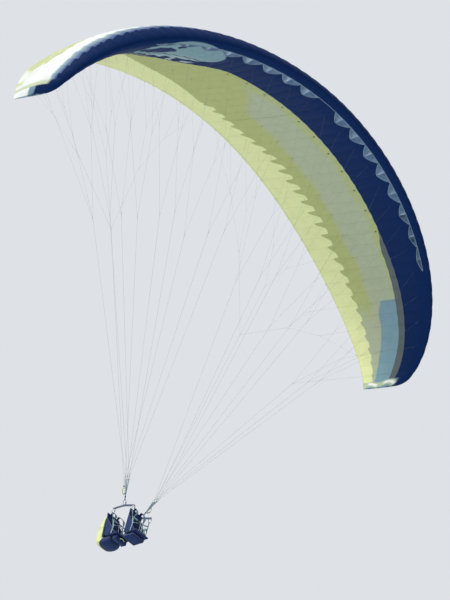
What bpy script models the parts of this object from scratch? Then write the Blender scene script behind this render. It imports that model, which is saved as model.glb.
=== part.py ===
"""Tandem paraglider: ram-air canopy, suspension lines, risers, spreader bars and two harnesses.

Metres, +X forward, +Y to the glider's left, +Z up. The origin is on the canopy's lower skin at
mid span, at its centre of lift, because the air holds the craft up there.
"""
from math import cos, pi, radians, sin, sqrt

import bmesh
import bpy
from mathutils import Matrix, Vector

# Small gap between pieces that touch, and a running gap at a pivot.
GAP = 0.0003

# Canopy. Span is measured along the cloth; a half cell lies between two neighbouring ribs.
HALF_SPAN = 6.525
HALF_CELLS = 26
WALL = 0.005
ROOT_NOSE, TIP_NOSE, NOSE_POWER = 1.125, -0.313, 1.74
ROOT_TAIL, TIP_TAIL, TAIL_POWER, TAIL_ROUNDNESS = -2.570, -1.290, 3.55, 1.180
ARC_LINEAR, ARC_CUBIC, ARC_SIXTH = radians(51.0), radians(13.0), radians(22.5)
PITCH = radians(-2.22)
THICKNESS, CAMBER, CAMBER_PLACE = 0.157, 0.0285, 0.30
TIP_THINNING, TIP_EDGE, TIP_EDGE_START = 0.12, 0.30, 0.97
COLOUR_SPLIT = 0.275
ARC_STEPS = 240

# Sections of the canopy from mid span to tip: name, first rib, last rib.
SECTIONS = (("inner", 7, 15), ("outer", 15, 23))
CENTRE_LAST_RIB = 7
TIP_STATIONS = (23.0, 24.0, 24.9, 25.4, 25.7, 25.9, 26.0)
TIP_HOLLOW_STATIONS = 5

# Air intakes: one to each pair of half cells between these ribs, and how far its edges stand off them.
FIRST_INTAKE_RIB, LAST_INTAKE_RIB = 1, 17
INTAKE_EDGE = 0.22

# Chord fractions of the skin's rows. The first two of FRONT_LOWER are the edges of the intakes.
UPPER, LOWER = 1, -1
FRONT_UPPER = (0.20, 0.13, 0.07, 0.03, 0.01)
FRONT_LOWER = (0.025, 0.078, 0.10, 0.18)
REAR_UPPER = (0.42, 0.60, 0.78, 0.90, 0.96)
REAR_LOWER = (0.30, 0.45, 0.60, 0.80, 0.95)

# Hang points: middle of the main karabiners, below the origin.
HANG_DROP = 9.11
HANG_HALF_WIDTH = 0.25
RISER_LEAN = radians(19.0)

# Lines: chord fraction of each row, quick link's place along the riser top, thickness of the lines.
LINE_ROWS = (("a_lines", 0.10, 0.055), ("b_lines", 0.30, 0.0), ("c_lines", 0.60, -0.055))
LINE_GROUPS = ((1, 3, 5, 7), (9, 11, 13, 15), (17, 19, 21, 23))
MAIN_FORK, UPPER_FORK = 0.62, 0.56
BRAKE_FORK, BRAKE_UPPER_FORK = 0.45, 0.50
MAIN_LINE, MIDDLE_LINE, TOP_LINE = 0.0024, 0.0018, 0.0013
LINE_CLEARANCE = 0.0006
TIP_LINE_RIB, TIP_LINE_CHORD = 25.0, 0.45
KNOT_RISE, KNOT_THICKNESS = 0.012, 0.006

# Karabiners and quick links: width and height of the rod's centre line, corner radius, rod radius.
MAIN_KARABINER = (0.062, 0.104, 0.018, 0.0055)
HARNESS_KARABINER = (0.062, 0.092, 0.016, 0.0050)
QUICK_LINK = (0.032, 0.042, 0.006, 0.0025)

# Risers.
WEBBING_WIDTH, WEBBING_THICKNESS = 0.020, 0.003
RISER_TOP, RISER_STEM_TOP = 0.45, 0.13
LOWER_EYE, UPPER_EYE, RIM_INSET = 0.0080, 0.0050, 0.001

# Brakes.
GUIDE_HEIGHT, GUIDE_SIZE, GUIDE_BORE = 0.315, (0.020, 0.022, 0.016), 0.0050
GUIDE_OUTBOARD = 0.034
GUIDE_ARM_LENGTH, GUIDE_ARM_HEIGHT = 0.006, 0.010
HANDLE = (0.090, 0.120, 0.030, 0.0085)
HANDLE_DROP = 0.030

# Spreader bars: places of the holes forward of the main hole, and the bar's section.
PILOT_HOLE, PASSENGER_HOLE, END_HOLE_DROP = -0.264, 0.295, 0.035
BAR_HEIGHT, BAR_THICKNESS, MAIN_BORE, END_BORE = 0.046, 0.008, 0.0100, 0.0080
MAIN_BORE_SLACK, BAR_MIDDLE = 0.0018, 0.05

# Harnesses: seat and back sizes, and their places below and behind the karabiner's upper rod.
SEAT = (0.33, 0.38, 0.045)
SEAT_DROP, SEAT_LEAN = 0.53, radians(-8.0)
SEAT_FORWARD = {"pilot": 0.11, "passenger": 0.09}
BACK, BACK_GAP, BACK_FOOT = (0.035, 0.36, 0.56), 0.004, -0.01
BACK_LEAN = {"pilot": radians(-18.0), "passenger": radians(-8.0)}
CUSHION_EDGE = 0.012
RESERVE, RESERVE_PLACE = (0.14, 0.30, 0.10), Vector((0.100, 0, -0.0745))
FOAM_PAD, FOAM_PLACE = (0.30, 0.34, 0.09), Vector((-0.040, 0, -0.0750))

# Side straps: the eye at the karabiner, the sewn foot and the hip over it, as (forward, up), and the
# strap's quarter turn on its way down, as (share of the way, share of the turn).
SIDE_WIDTH, HARNESS_EYE = 0.024, 0.0075
STRAP_FOOT, STRAP_HIP = (0.02, -0.01), (-0.01, 0.16)
STRAP_TURN = ((0.25, 0.0), (0.40, 0.35), (0.55, 0.65), (0.70, 0.90))

# Leg straps: place on the seat behind its front edge and off its middle, rise, and top over the thigh.
LEG_WIDTH, LEG_FRONT, LEG_OFF_MIDDLE = 0.038, 0.03, 0.036
LEG_RISE, LEG_BOW, THIGH, LEG_JOIN = 0.07, 0.060, (0.06, 0.125, 0.185), 0.02

# Shoulder straps: width, thickness and stand-off, then their places on the back, chest and seat.
SHOULDER_WIDTH, SHOULDER_THICKNESS, SHOULDER_GAP = 0.050, 0.008, 0.001
SHOULDER_TOP, SHOULDER_HALF, SHOULDER_END, SHOULDER_RISE = 0.05, 0.085, 0.03, 0.01
OVER_SHOULDER, SHOULDER_BOW, WAIST_BOW = (0.05, 0.045), 0.06, 0.02
CHEST_DROP, CHEST_WIDTH, CHEST_BACK, CHEST_HALF = 0.20, 0.030, 0.015, 0.125
CHEST_STRAP_BACK, CHEST_STRAP_INSET = 0.014, 0.030
LOW_ANCHOR, LOW_ANCHOR_RISE = (-0.10, 0.150), 0.006

# Protector: (height up the back, depth behind it), its corner, the same under the seat, and its widths.
PROTECTOR_BACK = ((0.50, 0.07), (0.40, 0.15), (0.22, 0.23), (0.04, 0.26))
PROTECTOR_CORNER = (-0.05, (-0.18, -0.19))
PROTECTOR_SEAT_X, PROTECTOR_SEAT_DEEP = (-0.11, 0.015), (0.19, 0.12)
PROTECTOR_WIDTH = (0.26, 0.32, 0.35, 0.36, 0.36, 0.34, 0.30)
PROTECTOR_WALL, PROTECTOR_GAP, PROTECTOR_ROUNDING = 0.003, 0.001, 0.05
ROUNDING_LIMIT, WIDEST_AT, EDGE_INSET, SIDE_INSET = 0.4, 0.35, 1.4, 0.3

NAVY = (0.0065, 0.026, 0.095)
LIME = (0.60, 0.67, 0.30)
PALE = (0.70, 0.72, 0.66)
STEEL_BLUE = (0.16, 0.28, 0.33)


def material(name, colour, roughness=0.75, metallic=0.0):
    """A Principled material in one colour."""
    made = bpy.data.materials.get(name)
    if made is None:
        made = bpy.data.materials.new(name)
        made.use_nodes = True
        shader = made.node_tree.nodes["Principled BSDF"]
        shader.inputs["Base Color"].default_value = (*colour, 1.0)
        shader.inputs["Roughness"].default_value = roughness
        shader.inputs["Metallic"].default_value = metallic
        made.diffuse_color = (*colour, 1.0)
    return made


def cloth_navy():
    return material("navy cloth", NAVY)


def cloth_lime():
    return material("lime cloth", LIME)


def cloth_pale():
    return material("pale cloth", PALE)


def webbing():
    return material("blue-grey webbing", STEEL_BLUE, 0.8)


def line_sheath():
    return material("line sheath", (0.55, 0.58, 0.55), 0.7)


def alloy():
    return material("anodised alloy", (0.55, 0.57, 0.60), 0.35, 1.0)


def inside_out(bm):
    """Whether a closed mesh encloses a negative volume, measured about its own middle."""
    middle = sum((v.co for v in bm.verts), Vector()) / len(bm.verts)
    volume = 0.0
    for face in bm.faces:
        a, *rest = [v.co - middle for v in face.verts]
        volume += sum(a.dot(b.cross(c)) for b, c in zip(rest, rest[1:]))
    return volume < 0.0


def place(name, bm, finish, matrix=None):
    """Turns a bmesh into a named object with its faces pointing out."""
    bmesh.ops.recalc_face_normals(bm, faces=bm.faces)
    if inside_out(bm):
        bmesh.ops.reverse_faces(bm, faces=bm.faces)
    mesh = bpy.data.meshes.new(name)
    bm.to_mesh(mesh)
    bm.free()
    mesh.materials.append(finish)
    made = bpy.data.objects.new(name, mesh)
    bpy.context.scene.collection.objects.link(made)
    if matrix is not None:
        made.matrix_world = matrix
    return made


def nose(t):
    """Leading edge's place forward of the origin, t from 0 at mid span to 1 at the tip."""
    return TIP_NOSE + (ROOT_NOSE - TIP_NOSE) * sqrt(max(0.0, 1.0 - t**NOSE_POWER))


def tail(t):
    """Trailing edge's place forward of the origin."""
    return TIP_TAIL + (ROOT_TAIL - TIP_TAIL) * max(0.0, 1.0 - t**TAIL_POWER) ** TAIL_ROUNDNESS


def arc_angle(t):
    """How far the wing's arc has turned down at t."""
    return ARC_LINEAR * t + ARC_CUBIC * t**3 + ARC_SIXTH * t**6


def arc_table():
    """Sideways and upward place of the arc at even steps of t."""
    step = HALF_SPAN / ARC_STEPS
    across, up, table = 0.0, 0.0, [(0.0, 0.0)]
    for i in range(ARC_STEPS):
        angle = arc_angle((i + 0.5) / ARC_STEPS)
        across += cos(angle) * step
        up -= sin(angle) * step
        table.append((across, up))
    return table


ARC = arc_table()


def arc_place(t):
    """The arc's point at t, between the table's steps."""
    i = min(int(t * ARC_STEPS), ARC_STEPS - 1)
    part = t * ARC_STEPS - i
    (y0, z0), (y1, z1) = ARC[i], ARC[i + 1]
    return y0 + (y1 - y0) * part, z0 + (z1 - z0) * part


def section_height(fraction, side):
    """Height of the wing section's skin over its chord line, per metre of chord."""
    x = max(fraction, 0.0)
    half = 5.0 * THICKNESS * (0.2969 * sqrt(x) - 0.1260 * x - 0.3516 * x**2 + 0.2843 * x**3 - 0.1015 * x**4)
    p = CAMBER_PLACE
    if x < p:
        middle = CAMBER / p**2 * (2 * p * x - x * x)
    else:
        middle = CAMBER / (1 - p) ** 2 * ((1 - 2 * p) + 2 * p * x - x * x)
    return middle + side * half


def fullness(t):
    """Share of the section's full thickness at t: less towards the tip, and a thin edge there."""
    share = 1.0 - TIP_THINNING * t**4
    if t > TIP_EDGE_START:
        edge = (t - TIP_EDGE_START) / (1.0 - TIP_EDGE_START)
        share *= 1.0 - (1.0 - TIP_EDGE) * edge**2
    return share


def raw_skin(rib, fraction, side, inset, shift):
    t = min(abs(rib) / HALF_CELLS, 1.0)
    chord = nose(t) - tail(t)
    share = fullness(t)
    x = min(max(fraction + shift / chord, 0.0), 1.0)
    along = x * chord
    height = section_height(x, side) * chord * share
    if x < 1e-5:
        normal = Vector((-1.0, 0.0))
    else:
        d = 1e-4
        slope = (section_height(x + d, side) - section_height(x - min(d, x), side)) * share / (d + min(d, x))
        normal = Vector((-slope * side, side)).normalized()
    along -= normal.x * inset
    height -= normal.y * inset
    y, z = arc_place(t)
    angle = arc_angle(t)
    forward = nose(t) - along
    y += sin(angle) * height
    z += cos(angle) * height
    return Vector(
        (
            forward * cos(PITCH) - z * sin(PITCH),
            -y if rib < 0 else y,
            forward * sin(PITCH) + z * cos(PITCH),
        )
    )


LIFT_CHORD = ROOT_NOSE / (ROOT_NOSE - ROOT_TAIL)
ORIGIN_SHIFT = raw_skin(0, LIFT_CHORD, LOWER, 0.0, 0.0)


def skin(rib, fraction, side, inset=0.0, shift=0.0):
    """A point of the skin. inset goes into the wing, shift goes aft along the chord, both in metres."""
    return raw_skin(rib, fraction, side, inset, shift) - ORIGIN_SHIFT


def ribs_between(first, last):
    """Stations of a rear section: its loaded ribs, pulled in by the gap at both ends."""
    ribs = [float(r) for r in range(first, last + 1, 2)]
    inset = GAP * HALF_CELLS / HALF_SPAN
    ribs[0] += inset
    ribs[-1] -= inset
    return ribs


def intake_ribs(first, last):
    """Stations of a front section: each pair of half cells with the two edges of its intake."""
    ribs = ribs_between(first, last)
    stations = []
    for low, high in zip(ribs, ribs[1:]):
        stations += [low, low + INTAKE_EDGE, high - INTAKE_EDGE]
    return stations + [ribs[-1]]


def front_section(name, first, last):
    """Nose part of a canopy section: a skin with a wall, open at its ends, behind, and at the intakes."""
    rows = [(UPPER, COLOUR_SPLIT, -GAP)]
    rows += [(UPPER, f, 0.0) for f in FRONT_UPPER]
    rows += [(UPPER, 0.0, 0.0)]
    rows += [(LOWER, f, 0.0) for f in FRONT_LOWER]
    rows += [(LOWER, COLOUR_SPLIT, -GAP)]
    open_row = rows.index((LOWER, FRONT_LOWER[0], 0.0))
    stations = intake_ribs(first, last)
    bm = bmesh.new()
    outer = [[bm.verts.new(skin(s, f, side, 0.0, shift)) for side, f, shift in rows] for s in stations]
    inner = [[bm.verts.new(skin(s, f, side, WALL, shift)) for side, f, shift in rows] for s in stations]

    def is_skin(i, j):
        if not (0 <= i < len(stations) - 1 and 0 <= j < len(rows) - 1):
            return False
        middle = abs(stations[i] + stations[i + 1]) / 2
        return not (j == open_row and i % 3 == 1 and FIRST_INTAKE_RIB < middle < LAST_INTAKE_RIB)

    for i in range(len(stations)):
        for j in range(len(rows)):
            if is_skin(i, j):
                bm.faces.new((outer[i][j], outer[i + 1][j], outer[i + 1][j + 1], outer[i][j + 1]))
                bm.faces.new((inner[i][j], inner[i][j + 1], inner[i + 1][j + 1], inner[i + 1][j]))
            if is_skin(i, j) != is_skin(i - 1, j):
                bm.faces.new((outer[i][j], outer[i][j + 1], inner[i][j + 1], inner[i][j]))
            if is_skin(i, j) != is_skin(i, j - 1):
                bm.faces.new((outer[i][j], outer[i + 1][j], inner[i + 1][j], inner[i][j]))
    return place(name, bm, cloth_navy())


def rear_section(name, first, last):
    """Rear part of a canopy section: both skins with a wall, solid only at the trailing edge."""
    outer_rows = [(UPPER, COLOUR_SPLIT, GAP)] + [(UPPER, f, 0.0) for f in REAR_UPPER] + [(UPPER, 1.0, 0.0)]
    outer_rows += [(LOWER, 1.0, 0.0)] + [(LOWER, f, 0.0) for f in reversed(REAR_LOWER)]
    outer_rows += [(LOWER, COLOUR_SPLIT, GAP)]
    inner_rows = [r for r in outer_rows if r[1] < 1.0]
    bm = bmesh.new()
    outer, inner = [], []
    for s in ribs_between(first, last):
        outer.append([bm.verts.new(skin(s, f, side, 0.0, shift)) for side, f, shift in outer_rows])
        inner.append([bm.verts.new(skin(s, f, side, WALL, shift)) for side, f, shift in inner_rows])
    for rows in (outer, inner):
        for low, high in zip(rows, rows[1:]):
            for j in range(len(low) - 1):
                bm.faces.new((low[j], high[j], high[j + 1], low[j + 1]))
    for a, b, c, d in zip(outer, outer[1:], inner, inner[1:]):
        bm.faces.new((a[0], b[0], d[0], c[0]))
        bm.faces.new((a[-1], b[-1], d[-1], c[-1]))
    middle = len(inner_rows) // 2
    for rim, core in ((outer[0], inner[0]), (outer[-1], inner[-1])):
        for j in range(middle - 1):
            bm.faces.new((rim[j], rim[j + 1], core[j + 1], core[j]))
            bm.faces.new((rim[-1 - j], rim[-2 - j], core[-2 - j], core[-1 - j]))
        bm.faces.new((rim[middle - 1], rim[middle], core[middle], core[middle - 1]))
        bm.faces.new((rim[middle], rim[middle + 1], rim[middle + 2], core[middle]))
    return place(name, bm, cloth_lime())


def wingtip(name, hand):
    """Last cells of the canopy: one cup, open towards the wing and closed at the tip."""
    rows = [(UPPER, 1.0)] + [(UPPER, f) for f in reversed(REAR_UPPER)] + [(UPPER, COLOUR_SPLIT)]
    rows += [(UPPER, f) for f in FRONT_UPPER] + [(UPPER, 0.0)] + [(LOWER, f) for f in FRONT_LOWER]
    rows += [(LOWER, COLOUR_SPLIT)] + [(LOWER, f) for f in REAR_LOWER] + [(LOWER, 1.0)]
    stations = list(TIP_STATIONS)
    stations[0] += GAP * HALF_CELLS / HALF_SPAN
    inner_stations = stations[:TIP_HOLLOW_STATIONS]
    bm = bmesh.new()
    outer = [[bm.verts.new(skin(hand * s, f, side)) for side, f in rows] for s in stations]
    inner = [[bm.verts.new(skin(hand * s, f, side, WALL)) for side, f in rows[1:-1]] for s in inner_stations]
    for shells in (outer, inner):
        for low, high in zip(shells, shells[1:]):
            for j in range(len(low)):
                k = (j + 1) % len(low)
                bm.faces.new((low[j], high[j], high[k], low[k]))
        bm.faces.new(shells[-1])
    rim, core = outer[0], inner[0]
    for j in range(len(core) - 1):
        bm.faces.new((rim[j + 1], rim[j + 2], core[j + 1], core[j]))
    bm.faces.new((rim[0], rim[1], core[0], core[-1]))
    bm.faces.new((rim[-1], rim[0], core[-1], rim[-2]))
    return place(name, bm, cloth_pale())


def fork_point(start, ends, share):
    """Where a line forks on its way from start to the middle of the ends."""
    middle = sum(ends, Vector()) / len(ends)
    return start.lerp(middle, share)


def grow_line(bm, front, back, start, branch, across):
    """One square line from a ring's strip to the branch's point, and on into its children."""
    point, thickness, children = branch
    along = (point - start).normalized()
    side = (across - along * across.dot(along)).normalized()
    deep = side.cross(along)
    strips = max(1, len(children))
    width = thickness if strips == 1 else sum(child[1] for child in children)
    ends = [point + side * width * (i / strips - 0.5) for i in range(strips + 1)]
    end_front = [bm.verts.new(p + deep * thickness / 2) for p in ends]
    end_back = [bm.verts.new(p - deep * thickness / 2) for p in ends]
    bm.faces.new((front[0], front[1], end_front[-1]))
    bm.faces.new((back[0], back[1], end_back[-1]))
    for i in range(strips):
        bm.faces.new((front[0], end_front[i], end_front[i + 1]))
        bm.faces.new((back[0], end_back[i], end_back[i + 1]))
    bm.faces.new((front[0], back[0], end_back[0], end_front[0]))
    bm.faces.new((front[1], back[1], end_back[-1], end_front[-1]))
    if not children:
        bm.faces.new((end_front[0], end_front[1], end_back[1], end_back[0]))
    for i, child in enumerate(children):
        grow_line(bm, end_front[i : i + 2], end_back[i : i + 2], point, child, across)


def line_tree(name, start, across, trunk, thickness, finish):
    """Lines that fork from one start: a closed solid, its ends just short of the cloth."""
    bm = bmesh.new()
    along = (trunk[0] - start).normalized()
    side = (across - along * across.dot(along)).normalized()
    deep = side.cross(along)
    front = [bm.verts.new(start + side * thickness * s + deep * thickness / 2) for s in (-0.5, 0.5)]
    back = [bm.verts.new(start + side * thickness * s - deep * thickness / 2) for s in (-0.5, 0.5)]
    bm.faces.new((front[0], front[1], back[1], back[0]))
    grow_line(bm, front, back, start, trunk, across)
    return place(name, bm, finish)


def cascade(start, hand, fraction, group, extra=None):
    """A main line that forks twice on its way to four ribs."""
    ends = [skin(hand * rib, fraction, LOWER, -LINE_CLEARANCE) for rib in group]
    fork = fork_point(start, ends, MAIN_FORK)
    children = []
    for pair in (ends[:2], ends[2:]):
        upper = fork_point(fork, pair, UPPER_FORK)
        children.append((upper, MIDDLE_LINE, [(end, TOP_LINE, []) for end in pair]))
    if extra is not None:
        children.append((extra, MIDDLE_LINE, []))
    return (fork, MAIN_LINE, children)


def hang_matrix(hand):
    """Frame at a hang point, leaning out with the riser; hand is 1 for left and -1 for right."""
    return Matrix.Translation((0, hand * HANG_HALF_WIDTH, -HANG_DROP)) @ Matrix.Rotation(
        -hand * RISER_LEAN, 4, "X"
    )


def ring(name, sizes, matrix, finish, sides=3):
    """A closed rod bent into a rounded rectangle in its own YZ plane, around its own origin."""
    width, height, corner, rod = sizes
    centres = ((1, 1), (-1, 1), (-1, -1), (1, -1))
    steps = 4
    points = []
    for quarter, (sy, sz) in enumerate(centres):
        for i in range(steps + 1):
            angle = (quarter + i / steps) * pi / 2
            points.append(
                (
                    0.0,
                    sy * (width / 2 - corner) + corner * cos(angle),
                    sz * (height / 2 - corner) + corner * sin(angle),
                )
            )
    curve = bpy.data.curves.new(name, "CURVE")
    curve.dimensions = "3D"
    curve.bevel_depth = rod
    curve.bevel_resolution = sides - 2
    spline = curve.splines.new("POLY")
    spline.points.add(len(points) - 1)
    for p, co in zip(spline.points, points):
        p.co = (*co, 1.0)
    spline.use_cyclic_u = True
    curve.materials.append(finish)
    made = bpy.data.objects.new(name, curve)
    bpy.context.scene.collection.objects.link(made)
    made.matrix_world = matrix
    return made


def prism(outline, width, name, finish, matrix=None):
    """An outline of (x, z) points, drawn out to its width along Y."""
    bm = bmesh.new()
    near = [bm.verts.new((x, -width / 2, z)) for x, z in outline]
    far = [bm.verts.new((x, width / 2, z)) for x, z in outline]
    bm.faces.new(near)
    bm.faces.new(list(reversed(far)))
    for i in range(len(outline)):
        j = (i + 1) % len(outline)
        bm.faces.new((near[i], near[j], far[j], far[i]))
    return place(name, bm, finish, matrix)


def rollers(places, width, name, matrix=None):
    """Cylinders along Y at (x, z, radius), kept apart in one hidden tool for a Boolean."""
    bm = bmesh.new()
    for x, z, radius in places:
        turn = Matrix.Translation((x, 0, z)) @ Matrix.Rotation(pi / 2, 4, "X")
        bmesh.ops.create_cone(
            bm, cap_ends=True, segments=16, radius1=radius, radius2=radius, depth=width, matrix=turn
        )
    return hide_tool(place(name, bm, webbing(), matrix))


def hide_tool(tool):
    """Marks an object as a cutter or filler for a Boolean."""
    tool.hide_render = True
    tool.display_type = "WIRE"
    return tool


def combine(target, tool, operation):
    """Adds a Boolean with a hidden tool to a piece."""
    change = target.modifiers.new(operation.lower(), "BOOLEAN")
    change.operation = operation
    change.solver = "EXACT"
    change.object = tool


def riser(name, hand):
    """Three webbing straps from one stem, with an eye at each end, in the frame of its hang point."""
    half = WEBBING_THICKNESS / 2
    low_eye = MAIN_KARABINER[1] / 2 + LOWER_EYE - MAIN_KARABINER[3] - GAP
    outline = [(-3 * half, low_eye)]
    for i, (_, _, top_x) in enumerate(reversed(LINE_ROWS)):
        foot = (i - 1) * WEBBING_THICKNESS
        outline += [(foot - half, RISER_STEM_TOP), (top_x - half, RISER_TOP), (top_x + half, RISER_TOP)]
    outline += [(3 * half, RISER_STEM_TOP), (3 * half, low_eye)]
    frame = hang_matrix(hand)
    made = prism(outline, WEBBING_WIDTH, name, webbing(), frame)
    eyes = [(0.0, low_eye, LOWER_EYE)] + [(x, RISER_TOP, UPPER_EYE) for _, _, x in LINE_ROWS]
    rims = [(x, z, r + WEBBING_THICKNESS) for x, z, r in eyes]
    combine(made, rollers(rims, WEBBING_WIDTH - RIM_INSET, name + "_rims", frame), "UNION")
    combine(made, rollers(eyes, WEBBING_WIDTH * 2, name + "_eyes", frame), "DIFFERENCE")
    return made


def link_centre():
    """Height of a quick link's middle over the hang point, its lower rod in the riser's eye."""
    return RISER_TOP + UPPER_EYE - QUICK_LINK[3] - GAP + QUICK_LINK[1] / 2


def suspension(hand, side):
    """Risers, links, karabiner and the three rows of lines on one side."""
    frame = hang_matrix(hand)
    across = frame.to_3x3() @ Vector((0, hand, 0))
    ring("main_karabiner_" + side, MAIN_KARABINER, frame, alloy())
    riser("riser_" + side, hand)
    for row, fraction, x in LINE_ROWS:
        centre = link_centre()
        link_frame = frame @ Matrix.Translation((x, 0, centre))
        ring("quick_link_" + row[0] + "_" + side, QUICK_LINK, link_frame, alloy())
        foot = centre + QUICK_LINK[1] / 2 + QUICK_LINK[3] + GAP
        start = frame @ Vector((x, 0, foot))
        knot = frame @ Vector((x, 0, foot + KNOT_RISE))
        tip_line = skin(hand * TIP_LINE_RIB, TIP_LINE_CHORD, LOWER, -LINE_CLEARANCE)
        mains = [
            cascade(knot, hand, fraction, group, tip_line if row[0] == "c" and group[-1] == 23 else None)
            for group in LINE_GROUPS
        ]
        trunk = (knot, KNOT_THICKNESS, mains)
        line_tree(row + "_" + side, start, across, trunk, KNOT_THICKNESS, line_sheath())


def brake_frame(hand):
    """Frame of a brake line at its guide on the rear strap: +Z runs up the line."""
    frame = hang_matrix(hand)
    share = (GUIDE_HEIGHT - RISER_STEM_TOP) / (RISER_TOP - RISER_STEM_TOP)
    rear_x = LINE_ROWS[2][2] * share - WEBBING_THICKNESS * (1 - share)
    place_in_riser = Vector((rear_x, hand * GUIDE_OUTBOARD, GUIDE_HEIGHT))
    guide = frame @ place_in_riser
    ends = [skin(hand * rib, 1.0, LOWER) for group in LINE_GROUPS for rib in group]
    along = (fork_point(guide, ends, MAIN_FORK) - guide).normalized()
    x_axis = (Vector((1, 0, 0)) - along * along.x).normalized()
    y_axis = along.cross(x_axis)
    turn = Matrix((x_axis, y_axis, along)).transposed().to_4x4()
    return Matrix.Translation(guide) @ turn


def brake(hand, side):
    """Brake guide on the riser, and the moving line with its fan and its handle."""
    frame = brake_frame(hand)
    width, height, corner, rod = HANDLE
    handle_top = -HANDLE_DROP
    hung = Matrix.Translation((0, 0, handle_top - height / 2 - rod))
    handle_frame = frame @ hung @ Matrix.Rotation(pi / 2, 4, "Z")
    ring("brake_handle_" + side, HANDLE, handle_frame, webbing())
    start = frame @ Vector((0, 0, handle_top + GAP))
    all_ends = [skin(hand * rib, 1.0, LOWER) for group in LINE_GROUPS for rib in group]
    fork = fork_point(frame.translation, all_ends, MAIN_FORK)
    mains = []
    for group in LINE_GROUPS:
        ends = [skin(hand * rib, 1.0, LOWER, -LINE_CLEARANCE) for rib in group]
        first = fork_point(fork, ends, BRAKE_FORK)
        children = []
        for pair in (ends[:2], ends[2:]):
            upper = fork_point(first, pair, BRAKE_UPPER_FORK)
            children.append((upper, TOP_LINE, [(end, TOP_LINE, []) for end in pair]))
        mains.append((first, MIDDLE_LINE, children))
    across = hang_matrix(hand).to_3x3() @ Vector((0, hand, 0))
    line_tree("brake_lines_" + side, start, across, (fork, MAIN_LINE, mains), MAIN_LINE, line_sheath())
    guide_block(side, hand, frame)


def guide_block(side, hand, frame):
    """A small eye of hard plastic, its arm sewn to the rear strap's outer edge."""
    width, depth, height = GUIDE_SIZE
    bm = bmesh.new()
    bmesh.ops.create_cube(bm, size=1.0)
    bmesh.ops.scale(bm, vec=(width, depth, height), verts=bm.verts)
    finish = material("guide plastic", (0.05, 0.05, 0.055), 0.5)
    riser_frame = hang_matrix(hand)
    turn = riser_frame.to_3x3().to_4x4()
    spot = Matrix.Translation(frame.translation) @ turn
    made = place("brake_guide_" + side, bm, finish, spot)
    arm_length = GUIDE_OUTBOARD - WEBBING_WIDTH / 2 - GAP
    arm = bmesh.new()
    bmesh.ops.create_cube(arm, size=1.0)
    bmesh.ops.scale(arm, vec=(GUIDE_ARM_LENGTH, arm_length, GUIDE_ARM_HEIGHT), verts=arm.verts)
    bmesh.ops.translate(arm, vec=(0, -hand * arm_length / 2, 0), verts=arm.verts)
    combine(made, hide_tool(place("brake_guide_arm_" + side, arm, finish, spot)), "UNION")
    bore = bmesh.new()
    bmesh.ops.create_cone(
        bore, cap_ends=True, segments=16, radius1=GUIDE_BORE, radius2=GUIDE_BORE, depth=height * 3
    )
    combine(made, hide_tool(place("brake_guide_bore_" + side, bore, finish, frame)), "DIFFERENCE")


def main_axis(hand):
    """Middle of the main karabiner's lower rod, about which the spreader bar turns."""
    return hang_matrix(hand) @ Vector((0, 0, -MAIN_KARABINER[1] / 2))


def end_axis(hand, hole_x):
    """Middle of a harness karabiner's upper rod, in the spreader bar's end hole."""
    pivot = main_axis(hand)
    return Vector((hole_x, pivot.y, pivot.z - END_HOLE_DROP))


def spreader(hand, side):
    """A flat alloy bar with a hole at each end and one at its peak for the main karabiner."""
    pivot = main_axis(hand)
    main_hole_z = pivot.z - (MAIN_BORE - MAIN_KARABINER[3] - MAIN_BORE_SLACK)
    end_z = pivot.z - END_HOLE_DROP - (END_BORE - HARNESS_KARABINER[3] - GAP)
    half = BAR_HEIGHT / 2
    outline = []
    corners = ((PASSENGER_HOLE, end_z, -60, 90), (0.0, main_hole_z, 75, 105), (PILOT_HOLE, end_z, 90, 240))
    for x, z, start, stop in corners:
        for i in range(5):
            angle = radians(start + (stop - start) * i / 4)
            outline.append((x + half * cos(angle), z + half * sin(angle)))
    outline += [(-BAR_MIDDLE, main_hole_z - half), (BAR_MIDDLE, main_hole_z - half)]
    frame = Matrix.Translation((0, pivot.y, 0))
    made = prism(outline, BAR_THICKNESS, "spreader_bar_" + side, alloy(), frame)
    holes = ((PASSENGER_HOLE, end_z, END_BORE), (0.0, main_hole_z, MAIN_BORE), (PILOT_HOLE, end_z, END_BORE))
    combine(made, rollers(holes, BAR_THICKNESS * 3, "spreader_bar_holes_" + side, frame), "DIFFERENCE")
    return made


def cushion(name, sizes, centre, lean, finish):
    """A soft block with rounded edges, leaning about Y."""
    bm = bmesh.new()
    bmesh.ops.create_cube(bm, size=1.0)
    bmesh.ops.scale(bm, vec=sizes, verts=bm.verts)
    bmesh.ops.bevel(bm, geom=bm.edges[:], offset=CUSHION_EDGE, segments=2, profile=0.5, affect="EDGES")
    return place(name, bm, finish, Matrix.Translation(centre) @ Matrix.Rotation(lean, 4, "Y"))


def strap(name, route, width, thickness, finish):
    """Flat webbing along a route of (point, direction of its width).

    Its two wide faces are split along the same diagonal, so that a twisted strap can't cross itself.
    """
    bm = bmesh.new()
    rings = []
    points = [p for p, _ in route]
    for i, (p, across) in enumerate(route):
        along = (points[min(i + 1, len(points) - 1)] - points[max(i - 1, 0)]).normalized()
        side = (across - along * across.dot(along)).normalized() * width / 2
        deep = side.cross(along).normalized() * thickness / 2
        rings.append([bm.verts.new(p + a * side + b * deep) for a, b in ((-1, -1), (1, -1), (1, 1), (-1, 1))])
    for low, high in zip(rings, rings[1:]):
        for j in range(4):
            k = (j + 1) % 4
            if j < 2:
                bm.faces.new((low[j], high[j], high[k]))
                bm.faces.new((low[j], high[k], low[k]))
            else:
                bm.faces.new((low[j], high[j], low[k]))
                bm.faces.new((high[j], high[k], low[k]))
    bm.faces.new(rings[0])
    bm.faces.new(rings[-1])
    return place(name, bm, finish)


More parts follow.
